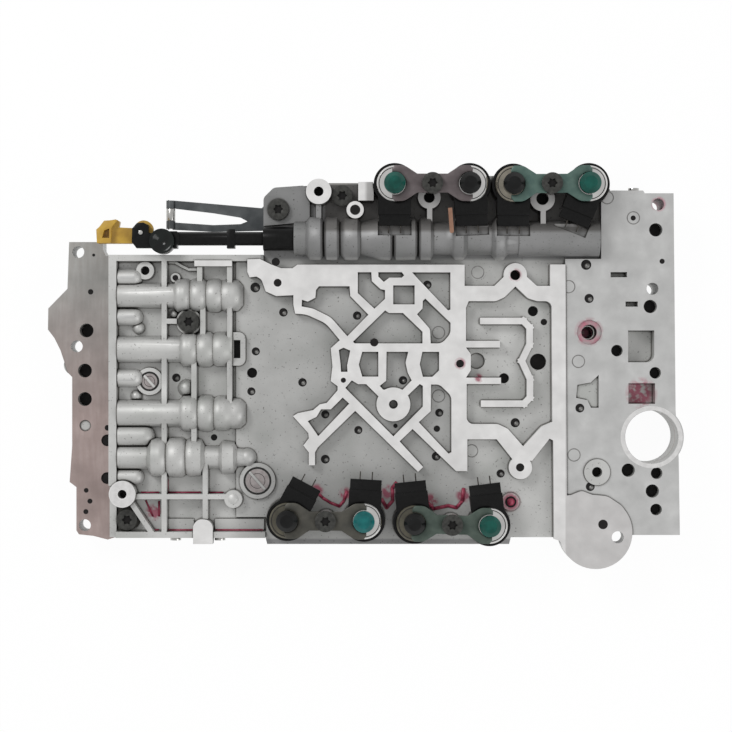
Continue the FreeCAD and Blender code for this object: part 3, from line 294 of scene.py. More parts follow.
def smooth_group():
    """Geometry nodes that shade smooth wherever neighbouring faces meet at a small angle."""
    group = bpy.data.node_groups.get("shade_by_angle")
    if group:
        return group
    group = bpy.data.node_groups.new("shade_by_angle", "GeometryNodeTree")
    group.interface.new_socket("Geometry", in_out="INPUT", socket_type="NodeSocketGeometry")
    group.interface.new_socket("Geometry", in_out="OUTPUT", socket_type="NodeSocketGeometry")
    entry = group.nodes.new("NodeGroupInput")
    leave = group.nodes.new("NodeGroupOutput")
    angle = group.nodes.new("GeometryNodeInputMeshEdgeAngle")
    compare = group.nodes.new("FunctionNodeCompare")
    compare.data_type = "FLOAT"
    compare.operation = "LESS_THAN"
    compare.inputs[1].default_value = math.radians(SMOOTH_UNDER)
    faces = group.nodes.new("GeometryNodeSetShadeSmooth")
    faces.domain = "FACE"
    edges = group.nodes.new("GeometryNodeSetShadeSmooth")
    edges.domain = "EDGE"
    group.links.new(angle.outputs["Unsigned Angle"], compare.inputs[0])
    group.links.new(entry.outputs[0], faces.inputs["Geometry"])
    group.links.new(faces.outputs[0], edges.inputs["Geometry"])
    group.links.new(compare.outputs[0], edges.inputs["Shade Smooth"])
    group.links.new(edges.outputs[0], leave.inputs[0])
    return group


def dress(name, material, bevel_mm=0.0, segments=2):
    """Gives a CAD node its material, smooth curved faces and softened edges."""
    piece = NODES[name]
    piece.data.materials.clear()
    piece.data.materials.append(material)
    weld = piece.modifiers.new("weld", "WELD")
    weld.merge_threshold = 0.01 * MM
    if bevel_mm:
        bevel = piece.modifiers.new("edges", "BEVEL")
        bevel.width = bevel_mm * MM
        bevel.segments = segments
        bevel.limit_method = "ANGLE"
        bevel.angle_limit = math.radians(SOFTEN_FROM)
    smooth = piece.modifiers.new("shading", "NODES")
    smooth.node_group = smooth_group()


aluminium = cast_aluminium()
dress("valve_housing", aluminium)
dress("lower_housing", aluminium)


# Small drilled ports of the castings
# Holes under about 3 mm radius, drilled or cored through the lands and floors. Each is a thin dark
# disc of painted shade on its face in place of the hole, and the wider ones have a grey disc, a
# painted glint on the drill's cone.

# Height of the main floor, and how thick the dark discs are and how high they stand on a face or over
# the floor of a port that the solids have, in millimetres
FLOOR = 27.0
WELL_THICK = 0.3
ON_FACE = 0.03
OVER_FLOOR = 0.4
# Centre x, y, radius and height of each mouth, in millimetres
PORTS = [
    (-65.0, 46.1, 2.9, FLOOR), (-52.7, 60.8, 2.4, LANDS), (-48.5, 31.5, 2.5, FLOOR),
    (-64.7, 8.6, 2.4, FLOOR), (-67.3, -14.9, 2.4, FLOOR), (-37.3, -9.6, 2.5, FLOOR),
    (-5.2, 29.6, 2.5, FLOOR), (4.8, 13.8, 2.4, LANDS), (-23.9, -28.4, 2.4, FLOOR),
    (-4.5, -37.6, 2.4, FLOOR), (-23.9, -54.7, 2.6, FLOOR), (21.7, -8.4, 2.5, FLOOR),
    (17.3, -35.1, 1.3, FLOOR), (43.0, -27.4, 2.4, FLOOR), (41.6, -36.8, 1.9, FLOOR),
    (41.2, -53.0, 2.6, FLOOR), (36.0, 47.7, 2.5, FLOOR), (104.4, 25.8, 1.9, FLOOR),
    (87.6, -33.3, 2.7, FLOOR), (79.0, -63.1, 2.4, FLOOR), (-51.6, 48.6, 2.3, LANDS),
    (-13.2, -8.3, 1.5, LANDS), (54.9, 1.4, 2.3, LANDS), (90.0, -59.2, 2.4, LANDS),
    (138.4, -92.5, 2.8, LANDS), (156.2, 86.5, 1.5, SHELF), (173.1, 61.2, 1.5, SHELF),
    (128.7, 59.2, 3.0, SHELF), (130.4, 39.5, 2.7, SHELF), (127.9, -4.9, 2.7, 30.5),
    (125.0, -24.6, 2.6, SHELF), (131.1, -70.5, 2.6, SHELF), (-6.3, 90.8, 3.0, PADS),
    (-111.6, -6.9, 2.5, 24.0), (-89.4, -42.0, 1.9, 24.0), (-160.8, 65.5, 0.9, 19.5),
    (-162.6, 43.8, 1.6, 19.5), (-165.2, -73.4, 1.4, 19.5), (-163.0, -79.8, 1.5, 19.5),
    (-165.4, -86.0, 1.5, 19.5), (-152.6, -36.5, 1.7, 19.5),
]
# The cone that a drill leaves, seen in the wider ports as a glint to one side, in shares of their radius
CONE_FROM_RADIUS = 2.2
CONE_ASIDE = (0.24, -0.2)
CONE_SHARE = 0.5
# The solids' own ports, with painted shade over their floors: x, y, radius and height of the floor
PORT_FLOORS = [
    (-165.0, 21.0, 4.0, 9.0), (-166.0, -2.7, 4.0, 9.0), (-166.0, -19.5, 4.0, 9.0),
    (169.4, 79.6, 3.8, 22.5), (166.2, 34.8, 3.8, 22.5), (146.7, 9.0, 3.3, 22.5),
    (169.1, -4.0, 3.3, 22.5), (153.3, -60.9, 3.8, 22.5), (169.9, -62.7, 3.3, 22.5),
    (167.4, -73.1, 3.8, 22.5), (169.6, -83.9, 3.3, 22.5), (101.0, 2.5, 4.7, 21.0),
    (98.0, 32.2, 2.9, 21.0), (81.0, -7.2, 2.9, 21.0), (-66.9, -4.0, 2.9, 21.0),
    (87.2, 53.1, 2.9, 22.5), (-129.4, 55.9, 2.5, 21.0), (-142.2, -74.8, 2.5, 22.5),
    (135.0, -62.0, 2.9, 22.5), (-27.5, 101.5, 2.7, 27.0), (36.8, 98.0, 3.1, 27.0),
    (102.6, 97.2, 3.5, 27.0), (-152.8, -43.9, 3.4, 18.0), (-152.9, -66.2, 3.4, 18.0),
]


def painted(name, code, roughness, metallic=0.0, second=None, size_mm=3.0, depth_mm=0.02, **sockets):
    """A material of one finish, slightly clouded between two near colours.

    Its relief is a finer grain, about an eighth of the clouds' size. It is drawn no finer than 0.25 mm,
    coarser than some of the real ones, which are too fine to show.
    """
    material, tree, shader, coords = surface(name, metallic, roughness, **sockets)
    colour = add(tree, "ShaderNodeValToRGB", {"stops": [(0.35, code), (0.68, second or code)]},
                 Fac=grain(tree, coords, size_mm, 4.0))
    tree.links.new(colour, shader.inputs["Base Color"])
    bump = add(tree, "ShaderNodeBump", {"in:Distance": depth_mm * MM, "in:Strength": 0.5},
               Height=grain(tree, coords, max(size_mm * 0.12, 0.25), 2.0))
    tree.links.new(bump, shader.inputs["Normal"])
    return material


# Painted shade of holes and recesses: near black, faintly brown
hole_shade_black = painted("painted_hole_shade", "#090808", 0.5, second="#151211", Specular_IOR_Level=0.25)


def finished(name, form, material, body="housing", smooth=True):
    bmesh.ops.recalc_face_normals(form, faces=form.faces)
    mesh = bpy.data.meshes.new(name)
    for face in form.faces:
        face.smooth = smooth
    form.to_mesh(mesh)
    form.free()
    piece = bpy.data.objects.new(name, mesh)
    bpy.context.scene.collection.objects.link(piece)
    mesh.materials.append(material)
    if body:
        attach(piece, body)
    return piece


def disc(bm, x, y, z, radius, thick, segments=24, top=None):
    """Low round slab with its top at z, in millimetres; top is the radius of its upper face."""
    upper = radius if top is None else top
    bmesh.ops.create_cone(bm, cap_ends=True, segments=segments, radius1=radius * MM, radius2=upper * MM,
                          depth=thick * MM,
                          matrix=Matrix.Translation((x * MM, y * MM, (z - thick / 2.0) * MM)))


def run(bm, points, width, low, high):
    """Bars along a line of points, with round joints between them, in millimetres."""
    for (x1, y1), (x2, y2) in zip(points, points[1:]):
        middle = Matrix.Translation(((x1 + x2) / 2 * MM, (y1 + y2) / 2 * MM, (low + high) / 2 * MM))
        turn = Matrix.Rotation(math.atan2(y2 - y1, x2 - x1), 4, "Z")
        size = Matrix.Diagonal((math.hypot(x2 - x1, y2 - y1) * MM, width * MM, (high - low) * MM, 1.0))
        bmesh.ops.create_cube(bm, size=1.0, matrix=middle @ turn @ size)
    for x, y in points[1:-1]:
        disc(bm, x, y, high - 0.01, width / 2, high - low - 0.01, 16)


# Painted shade: dark discs where the holes would be, and over the floors of the solids' ports
port_shades = bmesh.new()
for px, py, pr, pz in PORTS:
    disc(port_shades, px, py, pz + ON_FACE, pr, WELL_THICK)
for px, py, pr, pz in PORT_FLOORS:
    disc(port_shades, px, py, pz + OVER_FLOOR, pr, WELL_THICK)
run(port_shades, [(-75.45, 4.7), (-75.45, 15.1)], 3.7, 25.1, 25.5)
finished("small_port_shades", port_shades, hole_shade_black, smooth=False)

cones = bmesh.new()
for px, py, pr, pz in PORTS:
    if pr > CONE_FROM_RADIUS and pz < LANDS:
        disc(cones, px + CONE_ASIDE[0] * pr, py + CONE_ASIDE[1] * pr, pz + 0.06, pr * CONE_SHARE, 0.2)
# Painted glint on the drill's cone: plain grey, a little metallic
finished("drill_cone_glints", cones, painted("painted_cone_glint", "#6f6e6c", 0.4, 0.6, "#8b8a88", size_mm=2.0))


# Rounded passage ends and small cast forms
# The casting's blind passages and small bosses end in domes, left by ball-nosed cutters in
# the mould. With them come a curved rib, low steps and a plugged boss.

# Centre x, y, z and radius of each dome, in millimetres
DOMES = [
    (-136.0, 51.8, 27.5, 5.0), (-135.8, 28.8, 27.5, 5.0), (-136.0, -7.0, 27.5, 5.2),
    (-130.0, -41.0, 27.5, 6.2), (-134.8, -65.0, 27.5, 4.6), (-133.5, 22.3, 26.0, 3.4),
    (-135.0, -17.6, 25.0, 3.2), (-69.6, -53.6, 27.5, 5.4), (-77.6, -77.8, 28.6, 5.4),
    (-105.5, -13.0, 25.5, 4.7), (-112.8, 30.4, 25.5, 2.4),
]
domes = bmesh.new()
for dx, dy, dz, radius in DOMES:
    bmesh.ops.create_uvsphere(domes, u_segments=32, v_segments=16, radius=radius * MM,
                              matrix=Matrix.Translation((dx * MM, dy * MM, dz * MM)))
finished("passage_domes", domes, aluminium)


def flat_ring(bm, x, y, z, outer, inner):
    """Flat ring that faces up, in millimetres."""
    made = bmesh.ops.create_circle(bm, segments=40, radius=outer * MM,
                                   matrix=Matrix.Translation((x * MM, y * MM, z * MM)))
    edges = list({edge for vertex in made["verts"] for edge in vertex.link_edges})
    grown = bmesh.ops.extrude_edge_only(bm, edges=edges)
    centre = Vector((x * MM, y * MM, z * MM))
    for vertex in grown["geom"]:
        if isinstance(vertex, bmesh.types.BMVert):
            vertex.co = centre + (vertex.co - centre) * (inner / outer)


SMALL_BOSS = (-111.7, 51.7)
PLUGGED_BOSS = (84.8, -79.6)
BOSS_FACE = 29.4
forms = bmesh.new()
CURVED_RIB = [(-116.0, 61.0), (-112.0, 60.8), (-108.0, 58.5), (-104.0, 56.6), (-99.0, 56.6)]
run(forms, CURVED_RIB, 1.4, 24.0, 28.5)
for left, right in ((-116.8, -101.2), (-88.8, -60.0)):
    run(forms, [(left, -93.3), (right, -93.3)], 7.0, 24.0, 25.2)
disc(forms, *SMALL_BOSS, BOSS_FACE + 0.1, 3.0, 5.5, 32, 2.8)
disc(forms, *PLUGGED_BOSS, BOSS_FACE, 5.4, 2.4, 40, 5.1)
finished("small_cast_forms", forms, aluminium, smooth=False)
eyes = bmesh.new()
disc(eyes, *SMALL_BOSS, BOSS_FACE + 0.15, 1.7, WELL_THICK)
flat_ring(eyes, *PLUGGED_BOSS, BOSS_FACE + 0.05, 3.3, 2.3)
finished("boss_hole_shadows", eyes, hole_shade_black, smooth=False)


# Red sealant
# Thread sealant run out along pocket edges and between the solenoids, and a daub in one plug.

# The line of each smear, its width and the height that it lies at, in millimetres
SMEAR_THICK = 0.3
SMEARS = [
    ([(-116.6, -66.6), (-116.6, -73.4)], 0.8, 24.0), ([(-116.2, -74.3), (-97.2, -74.3)], 0.8, 24.0),
    ([(-92.0, -74.3), (-84.0, -74.3)], 0.7, 24.0), ([(-132.5, -74.3), (-121.7, -74.3)], 0.7, 24.0),
    ([(-121.7, -79.5), (-121.7, -88.5)], 1.1, 24.0), ([(-129.6, -79.0), (-125.4, -88.5)], 0.9, 24.0),
    ([(-126.0, -96.4), (-121.8, -96.4)], 0.9, 24.0), ([(-116.2, -96.4), (-100.6, -96.4)], 0.9, 25.2),
    ([(-88.7, -96.4), (-60.5, -96.4)], 0.9, 25.2), ([(58.5, -7.0), (66.0, -7.0)], 0.6, 27.0),
    ([(-29.4, -73.4), (-25.4, -77.4), (-20.8, -80.3), (-15.7, -82.3), (-12.9, -79.1), (-11.2, -73.4)],
     1.6, 27.0),
    ([(9.0, -77.8), (12.1, -83.2), (15.7, -79.0), (15.4, -71.7), (18.1, -68.1)], 1.9, 27.0),
    ([(36.2, -80.2), (39.8, -83.8), (48.3, -82.0), (53.1, -83.2), (56.7, -79.0), (57.3, -71.7)],
     1.9, 27.0),
]
sealant = bmesh.new()
for points, width, level in SMEARS:
    run(sealant, points, width, level, level + SMEAR_THICK)
daub = Vector((*PLUGGED_BOSS, BOSS_FACE - 0.6)) * MM
bmesh.ops.create_uvsphere(sealant, u_segments=24, v_segments=12, radius=2.4 * MM,
                          matrix=Matrix.Translation(daub))
# Cured sealant: lumpy, wine red, half glossy
red_sealant = painted("red_thread_sealant", "#8e2440", 0.35, second="#b14a62", size_mm=2.0, depth_mm=0.15)
finished("sealant_smears", sealant, red_sealant)


# Ejector pin marks and date wheels
# Round flats left by the mould's ejector pins, the milled rims of two bores, and two date wheels:
# a groove round a disc with a raised bar across it.

MARKS = [(65.2, 54.7, LANDS), (42.6, 19.6, FLOOR), (42.6, -17.6, FLOOR), (62.0, -49.8, FLOOR),
         (118.5, 46.4, SHELF), (124.2, 2.7, SHELF), (121.6, -52.0, SHELF), (141.0, 98.4, SHELF),
         (156.3, 86.6, SHELF)]
JUST_ABOVE = 0.02
MARK_OUTER = 3.9
MARK_INNER = 3.3
rings = bmesh.new()
for mx, my, mz in MARKS:
    flat_ring(rings, mx, my, mz + JUST_ABOVE, MARK_OUTER, MARK_INNER)
# The step round a pin's mark: a thin grey shadow
mark_grey = painted("pin_mark_aluminium", "#6e6d6c", 0.5, 0.4, "#8a8987")
finished("ejector_marks", rings, mark_grey, smooth=False)
rims = bmesh.new()
flat_ring(rims, 167.0, -41.5, SHELF + JUST_ABOVE, 18.2, 15.7)
flat_ring(rims, -142.2, -74.8, LEFT_BOSS_TOP + JUST_ABOVE, 7.2, 3.2)
# Milled aluminium: bright and even
finished("milled_rims", rims, painted("milled_aluminium", "#d4d3d2", 0.4, 0.6, "#e2e1e0"), smooth=False)

# Centre x and y of each date wheel, the height of its face, half its bar's length and its groove's radius
WHEELS = [(-127.0, -9.0, 28.5, 4.6, 5.8), (-63.6, -67.3, 29.5, 7.0, 8.2)]
BAR_TURN = -48
BAR_WIDTH = 1.6
BAR_HEIGHT = 0.8
GROOVE_WIDTH = 1.2
INNER_RING = 0.55
wheel_bars = bmesh.new()
grooves = bmesh.new()
faces = bmesh.new()
for wx, wy, wz, reach, radius in WHEELS:
    middle = Matrix.Translation((wx * MM, wy * MM, (wz + BAR_HEIGHT / 2) * MM))
    turned = Matrix.Rotation(math.radians(BAR_TURN), 4, "Z")
    sized = Matrix.Diagonal((2 * reach * MM, BAR_WIDTH * MM, BAR_HEIGHT * MM, 1.0))
    bmesh.ops.create_cube(wheel_bars, size=1.0, matrix=middle @ turned @ sized)
    flat_ring(grooves, wx, wy, wz + JUST_ABOVE, radius, radius - GROOVE_WIDTH)
    flat_ring(grooves, wx, wy, wz + JUST_ABOVE, radius * INNER_RING, radius * INNER_RING - 0.3)
    disc(faces, wx, wy, wz + 0.015, radius - 1.3, 0.2, 40)
bmesh.ops.bevel(wheel_bars, geom=wheel_bars.edges[:], offset=0.3 * MM, segments=2, affect="EDGES",
                profile=0.5, material=-1)
finished("date_wheel_bars", wheel_bars, aluminium, smooth=False)
# The groove in shadow: dark and dull
finished("date_wheel_grooves", grooves, painted("groove_shadow", "#262524", 0.7, 0.3), smooth=False)
# The wheel's face: brownish grey, worn
worn_face = painted("worn_wheel_face", "#8f8887", 0.5, 0.4, "#a7a09f")
finished("date_wheel_faces", faces, worn_face, smooth=False)


# Separator plate
# Cold rolled steel sheet between the castings, stained pinkish by hot oil along its open edge.

def rolled_plate():
    """Rolled sheet, streaked along its length: grey at the rear, pinkish brown towards the front."""
    material, tree, shader, coords = surface("oil_stained_steel", 0.5, 0.48)
    cloud = grain(tree, coords, 14.0, 5.0)
    grey = add(tree, "ShaderNodeValToRGB",
               {"stops": [(0.3, "#8d8c89"), (0.5, "#999895"), (0.72, "#a7a6a3")]}, Fac=cloud)
    pink = add(tree, "ShaderNodeValToRGB",
               {"stops": [(0.3, "#968783"), (0.5, "#a49490"), (0.72, "#b2a29e")]}, Fac=cloud)
    row = add(tree, "ShaderNodeSeparateXYZ", output="Y", Vector=coords)
    forward = add(tree, "ShaderNodeMapRange", {"in:From Min": 0.05, "in:From Max": -0.03}, Value=row)
    colour = add(tree, "ShaderNodeMix", COVER, output=2, _0=forward, _6=grey, _7=pink)
    streak = grain(tree, coords, 2.0, 3.0, (1.0, 0.12, 1.0))
    dark = add(tree, "ShaderNodeValToRGB", {"stops": [(0.35, "#eae6e5"), (0.7, "#ffffff")]}, Fac=streak)
    colour = add(tree, "ShaderNodeMix", TINT, output=2, _0=cloud, _6=colour, _7=dark)
    tree.links.new(colour, shader.inputs["Base Color"])
    bump = add(tree, "ShaderNodeBump", {"in:Distance": 0.01 * MM, "in:Strength": 0.4}, Height=streak)
    tree.links.new(bump, shader.inputs["Normal"])
    return material


dress("separator_plate", rolled_plate())


# Solenoids
# Drawn steel cans with bright plating, in a black glass-filled nylon overmould that carries the
# plug block; a coloured nylon cap on each.

# Moulded nylon with glass fibre: black and half matt
black_nylon = painted("black_glass_filled_nylon", "#030303", 0.3, second="#0b0b0b", size_mm=1.6,
                      Specular_IOR_Level=0.22)
# Plated cans: mirror-like, but for one smoked pair and one stained by oil
bright_can = painted("bright_plated_steel", "#c9c8c6", 0.16, 1.0, "#dddcda", size_mm=9.0, depth_mm=0.004)
smoked_can = painted("smoked_can_face", "#4b483e", 0.12, 0.3, "#5d594c", size_mm=5.0, depth_mm=0.004)
stained_can = painted("oil_stained_can", "#837e73", 0.2, 0.8, "#989286", size_mm=6.0, depth_mm=0.004)
CAN_FINISHES = {3: stained_can, 5: smoked_can, 7: smoked_can}
# Coloured nylon caps: smooth, with a soft shine
CAPS = {"green": ("green_nylon", "#0a3f37", "#13544a"),
        "black": ("black_nylon_cap", "#070707", "#111212"),
        "teal": ("teal_nylon", "#0c5455", "#1a6b6a")}
CAP_COLOURS = {1: "green", 4: "green", 6: "teal", 8: "green"}
cap_nylon = {colour: painted(name, dark, 0.2, second=pale, size_mm=6.0, Specular_IOR_Level=0.25)
             for colour, (name, dark, pale) in CAPS.items()}
for number in range(1, 9):
    dress("solenoid_can_%d" % number, CAN_FINISHES.get(number, bright_can), 0.5)
    dress("solenoid_connector_%d" % number, black_nylon, 0.45)
    dress("solenoid_cap_%d" % number, cap_nylon[CAP_COLOURS.get(number, "black")], 1.6, 4)

# Centre x and y of each can, in millimetres
CAN_CENTRES = [(16.6, 105.6), (60.2, 105.6), (85.4, 105.3), (129.3, 105.6), (-45.6, -89.4), (-1.2, -89.8),
               (28.0, -91.0), (71.6, -92.4)]
CAN_FACE = 47.0
SEAM_OUTER = 9.3
SEAM_INNER = 8.8
seams = bmesh.new()
for cx, cy in CAN_CENTRES:
    flat_ring(seams, cx, cy, CAN_FACE + JUST_ABOVE, SEAM_OUTER, SEAM_INNER)
# The rolled seam of each can: a thin dark line
finished("can_seams", seams, painted("can_seam_shadow", "#242322", 0.5, 0.4), smooth=False)


# Straps and their screws
# Stamped and phosphated steel straps, each held by a flat-headed black screw with a
# six-lobed recess.

# Phosphated steel: dull and dark, each strap of its own cast of brown or green
STRAPS = {1: ("phosphated_strap_1", "#5c5455", "#6c6465"),
          2: ("phosphated_strap_2", "#48605a", "#5b726a"),
          3: ("phosphated_strap_3", "#45443f", "#55534c"),
          4: ("phosphated_strap_4", "#434f48", "#546058")}
for number, (name, dark, pale) in STRAPS.items():
    dress("strap_%d" % number, painted(name, dark, 0.4, 0.5, pale, size_mm=6.0), 0.35)
# Blackened steel: dark grey with a low shine
screw_black = painted("blackened_screw_steel", "#363634", 0.32, 0.6, "#4a4a47", size_mm=2.0)
for name in ("strap_screws", "housing_screws", "corner_screw"):
    dress(name, screw_black, 0.7, 3)
# Centre x, y of each screw's recess and the height of its floor, in millimetres
SOCKETS = [
    (38.4, 105.6, 50.4), (107.35, 105.45, 50.4), (-23.4, -89.6, 50.4), (49.8, -91.7, 50.4),
    (-103.7, 25.9, 32.4), (-13.9, 99.5, 32.4), (-51.3, 91.6, 32.4), (-140.2, -90.2, 26.6),
]
# A round slab and three bars darken each recess just above its floor. The ring round them lies inside
# the head and isn't seen.
SHADOW_TOP = 0.5
SHADOW_RADIUS = 2.0
LOBE_LENGTH = 5.6
LOBE_WIDTH = 1.2
RING_OUTER = 4.3
RING_INNER = 3.95
recesses = bmesh.new()
for hx, hy, hz in SOCKETS:
    disc(recesses, hx, hy, hz + SHADOW_TOP, SHADOW_RADIUS, 0.4)
    flat_ring(recesses, hx, hy, hz + SHADOW_TOP, RING_OUTER, RING_INNER)
    for turn in range(3):
        middle = Matrix.Translation((hx * MM, hy * MM, (hz + 0.3) * MM))
        turned = Matrix.Rotation(math.radians(60 * turn), 4, "Z")
        sized = Matrix.Diagonal((LOBE_LENGTH * MM, LOBE_WIDTH * MM, 0.3 * MM, 1.0))
        bmesh.ops.create_cube(recesses, size=1.0, matrix=middle @ turned @ sized)
finished("screw_recess_shadows", recesses, hole_shade_black, smooth=False)
# Sheet steel, blackened and dull
dress("corner_bracket", painted("dark_sheet_steel", "#33332f", 0.5, 0.5, "#45443f"), 0.2)


# Contact blades, plugs and hidden steel parts
# Tinned bronze blades in the plug blocks; ground steel for plugs, spools, pins and roller.

# Ground steel: bright, with a fine even shine
ground_steel = painted("ground_steel", "#b5b4b1", 0.26, 1.0, "#cac9c6", size_mm=4.0, depth_mm=0.006)
# Tinned bronze under oil: dark brown, faintly metallic
dress("contact_blades", painted("oil_dark_bronze", "#2c2a28", 0.4, 0.6, "#47433d", size_mm=1.5), 0.1)
for name in ("bore_plugs", "side_plugs", "selector_spool", "coupling_pin", "roller_pin",
             "detent_roller", "tube_sleeve"):
    dress(name, ground_steel, 0.15)
for number in range(1, 5):
    dress("regulator_spool_%d" % number, ground_steel, 0.2)


# Springs
# Coils behind the four regulator spools, and the forked strip that carries the detent roller, cut
# across at even steps along its arms.

WIRE_R = 0.00045
WIRE_SIDES = 8
COIL_TURNS = 8
TURN_STEPS = 20
# The strip is cut across at even steps from this point towards the roller
BEND_ROOT = (-0.061, 0.0872, 0.0187)
CUTS = 12
CUT_STEP = 0.004
SHARP_EDGE = 0.7
SAME_POINT = 1e-6

# Hardened spring steel: blue-grey, half bright
spring_strip = painted("hardened_spring_strip", "#484b4d", 0.36, 0.8, "#66696a", size_mm=12.0,
                       depth_mm=0.008)


def coil_spring(number):
    """Wire coil from a regulator spool to the end of its bore."""
    node = "spool_spring_%d" % number
    low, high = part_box(node)
    y, z = (low[1] + high[1]) / 2.0, (low[2] + high[2]) / 2.0
    radius = (high[1] - low[1]) / 2.0 - WIRE_R
    length = high[0] - low[0]
    steps = COIL_TURNS * TURN_STEPS
    coil = bmesh.new()
    bmesh.ops.create_circle(coil, segments=WIRE_SIDES, radius=WIRE_R,
                            matrix=Matrix.Translation((low[0] + WIRE_R, y + radius, z)))
    bmesh.ops.spin(coil, geom=coil.verts[:] + coil.edges[:], cent=(low[0], y, z), axis=(1, 0, 0),
                   dvec=((length - 2.0 * WIRE_R) / steps, 0.0, 0.0), angle=math.tau * COIL_TURNS,
                   steps=steps)
    bmesh.ops.holes_fill(coil, edges=coil.edges[:], sides=WIRE_SIDES)
    piece = finished("valve_coil_%d" % number, coil, spring_strip)
    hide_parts(node)
    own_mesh(piece)


for number in range(1, 5):
    coil_spring(number)

strip = bmesh.new()
strip.from_mesh(NODES["detent_spring"].data)
bmesh.ops.remove_doubles(strip, verts=strip.verts, dist=SAME_POINT)
for step in range(CUTS):
    bmesh.ops.bisect_plane(strip, geom=strip.verts[:] + strip.edges[:] + strip.faces[:],
                           plane_co=(BEND_ROOT[0] - CUT_STEP * step, 0.0, 0.0), plane_no=(1, 0, 0))
for edge in strip.edges:
    edge.smooth = edge.calc_face_angle(0.0) < SHARP_EDGE
forked_strip = finished("forked_strip", strip, spring_strip, body=None)
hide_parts("detent_spring")
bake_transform(forked_strip)


# Copper earth leaf
# Thin bare copper tab that earths the second solenoid, lying over the bore of the selector valve.

leaf = bmesh.new()
run(leaf, [(48.6, 91.5), (49.6, 78.0)], 2.4, 46.4, 46.9)
disc(leaf, 49.6, 78.0, 46.88, 1.2, 0.46, 20)
# Bare copper, browned by oil
bare_copper = painted("bare_copper", "#8f6c5a", 0.4, 0.7, "#a5806b", size_mm=4.0)
finished("copper_leaf", leaf, bare_copper, smooth=False)


# Selector rod and its pieces
# Moulded black nylon rod and magnet cup, with a yellow acetal slider that the gearbox lever drives.

for name in ("selector_rod", "rod_guide"):
    dress(name, black_nylon, 0.5, 3)
# The cup, wet with oil: black and glossy
dress("magnet_holder", painted("wet_black_nylon", "#0a0d0c", 0.2, second="#141a18", size_mm=6.0,
                               Specular_IOR_Level=0.3), 0.5, 3)
# Acetal: ochre yellow and waxy
dress("selector_slider", painted("yellow_acetal", "#a5802c", 0.4, second="#bd9838", size_mm=5.0), 0.6, 3)
# Sintered magnet: dark grey and dull
dress("position_magnet", painted("sintered_magnet", "#212122", 0.55, 0.4), 0.2)


# Seal of the oil tube's sleeve
# Silicone seal round the steel sleeve, and the smeared lip that lies in the mouth of its bore.

LIP_TOP = (SHELF - 1.0) * MM
LIP_THICK = 0.0006
LIP_DISH = 0.0003
LIP_GAP_OUTSIDE = 0.00005
LIP_GAP_INSIDE = 0.00002

# Grey silicone, smeared with red sealant
smeared_seal = painted("sealant_smeared_seal", "#a3a1a0", 0.4, 0.1, "#b04a68", size_mm=7.0)
dress("sleeve_seal", smeared_seal, 0.2)
seal_low, seal_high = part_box("sleeve_seal")
sleeve_low, sleeve_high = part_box("tube_sleeve")
seal_x, seal_y = (seal_low[0] + seal_high[0]) / 2.0, (seal_low[1] + seal_high[1]) / 2.0
lip_outer = seal_x + (seal_high[0] - seal_low[0]) / 2.0 - LIP_GAP_OUTSIDE
lip_inner = seal_x + (sleeve_high[0] - sleeve_low[0]) / 2.0 + LIP_GAP_INSIDE
lip = bmesh.new()
corners = [lip.verts.new((lip_outer, seal_y, LIP_TOP - LIP_THICK)),
           lip.verts.new((lip_outer, seal_y, LIP_TOP)),
           lip.verts.new((lip_inner, seal_y, LIP_TOP - LIP_DISH)),
           lip.verts.new((lip_inner, seal_y, LIP_TOP - LIP_DISH - LIP_THICK))]
sides = [lip.edges.new(pair) for pair in zip(corners, corners[1:] + corners[:1])]
bmesh.ops.spin(lip, geom=corners + sides, cent=(seal_x, seal_y, 0.0), axis=(0, 0, 1), angle=math.tau,
               steps=48, use_merge=True)
finished("seal_lip", lip, smeared_seal, smooth=False)


# Studio
# White floor and white surroundings, one camera above the part and two soft lamps.

FLOOR_HALF = 6.0
FLOOR_GLOW = 0.96
WORLD_LIGHT = 0.66
# Half the photo's width across the lands, and the camera's height above them, in millimetres
HALF_VIEW = 213.7
VIEW_DISTANCE = 1284.0

floor_mesh = bmesh.new()
bmesh.ops.create_grid(floor_mesh, x_segments=1, y_segments=1, size=FLOOR_HALF,
                      matrix=Matrix.Translation((0, 0, -0.5 * MM)))
floor_data = bpy.data.meshes.new("floor")
floor_mesh.to_mesh(floor_data)
floor_mesh.free()
floor = bpy.data.objects.new("floor", floor_data)
bpy.context.scene.collection.objects.link(floor)
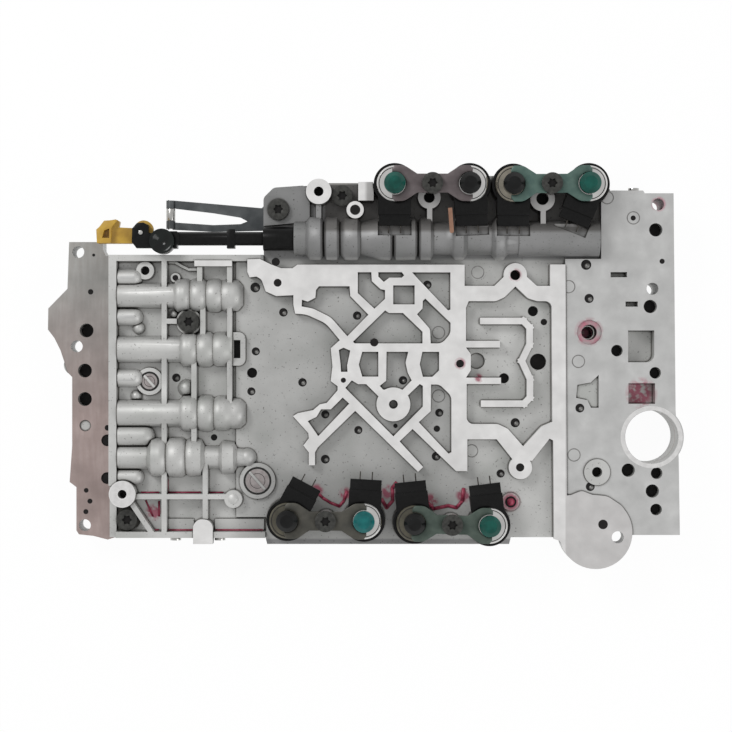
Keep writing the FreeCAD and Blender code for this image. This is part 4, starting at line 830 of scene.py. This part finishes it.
# White paper that glows to the camera and in reflections, and keeps the part's shadow
floor_material = bpy.data.materials.new("white_paper")
floor_material.use_nodes = True
floor_tree = floor_material.node_tree
paper = floor_tree.nodes["Principled BSDF"]
paper.inputs["Base Color"].default_value = srgb("#f7f7f7")
paper.inputs["Roughness"].default_value = 0.9
camera_ray = add(floor_tree, "ShaderNodeLightPath", output="Is Camera Ray")
glossy_ray = add(floor_tree, "ShaderNodeLightPath", output="Is Glossy Ray")
seen = add(floor_tree, "ShaderNodeMath", LARGER, _0=camera_ray, _1=glossy_ray)
share = add(floor_tree, "ShaderNodeMath", {"operation": "MULTIPLY", "at:1": FLOOR_GLOW}, _0=seen)
glow = add(floor_tree, "ShaderNodeEmission", {"in:Strength": 1.0})
mixed = add(floor_tree, "ShaderNodeMixShader", _0=share, _1=paper.outputs[0], _2=glow)
floor_tree.links.new(mixed, floor_tree.nodes["Material Output"].inputs["Surface"])
floor_data.materials.append(floor_material)

world = bpy.data.worlds.new("studio")
bpy.context.scene.world = world
world.use_nodes = True
world.node_tree.nodes["Background"].inputs["Color"].default_value = srgb("#ffffff")
world.node_tree.nodes["Background"].inputs["Strength"].default_value = WORLD_LIGHT


def lamp(name, place, size, power):
    """Round soft lamp aimed at the middle of the part."""
    data = bpy.data.lights.new(name, "AREA")
    data.shape = "DISK"
    data.size = size
    data.energy = power
    light = bpy.data.objects.new(name, data)
    light.location = place
    light.rotation_euler = (-Vector(place)).to_track_quat("-Z", "Y").to_euler()
    bpy.context.scene.collection.objects.link(light)


lamp("key", (-0.9, 0.9, 1.3), 0.6, 11.0)
lamp("fill", (1.1, -0.7, 1.1), 0.9, 6.0)

camera_data = bpy.data.cameras.new("camera")
camera_data.angle = 2 * math.atan(HALF_VIEW / VIEW_DISTANCE)
camera_data.clip_start = 0.05
camera = bpy.data.objects.new("camera", camera_data)
camera.location = (0.0, 0.0, (VIEW_DISTANCE + LANDS) * MM)
bpy.context.scene.collection.objects.link(camera)
bpy.context.scene.camera = camera
bpy.context.scene.view_settings.view_transform = "Standard"
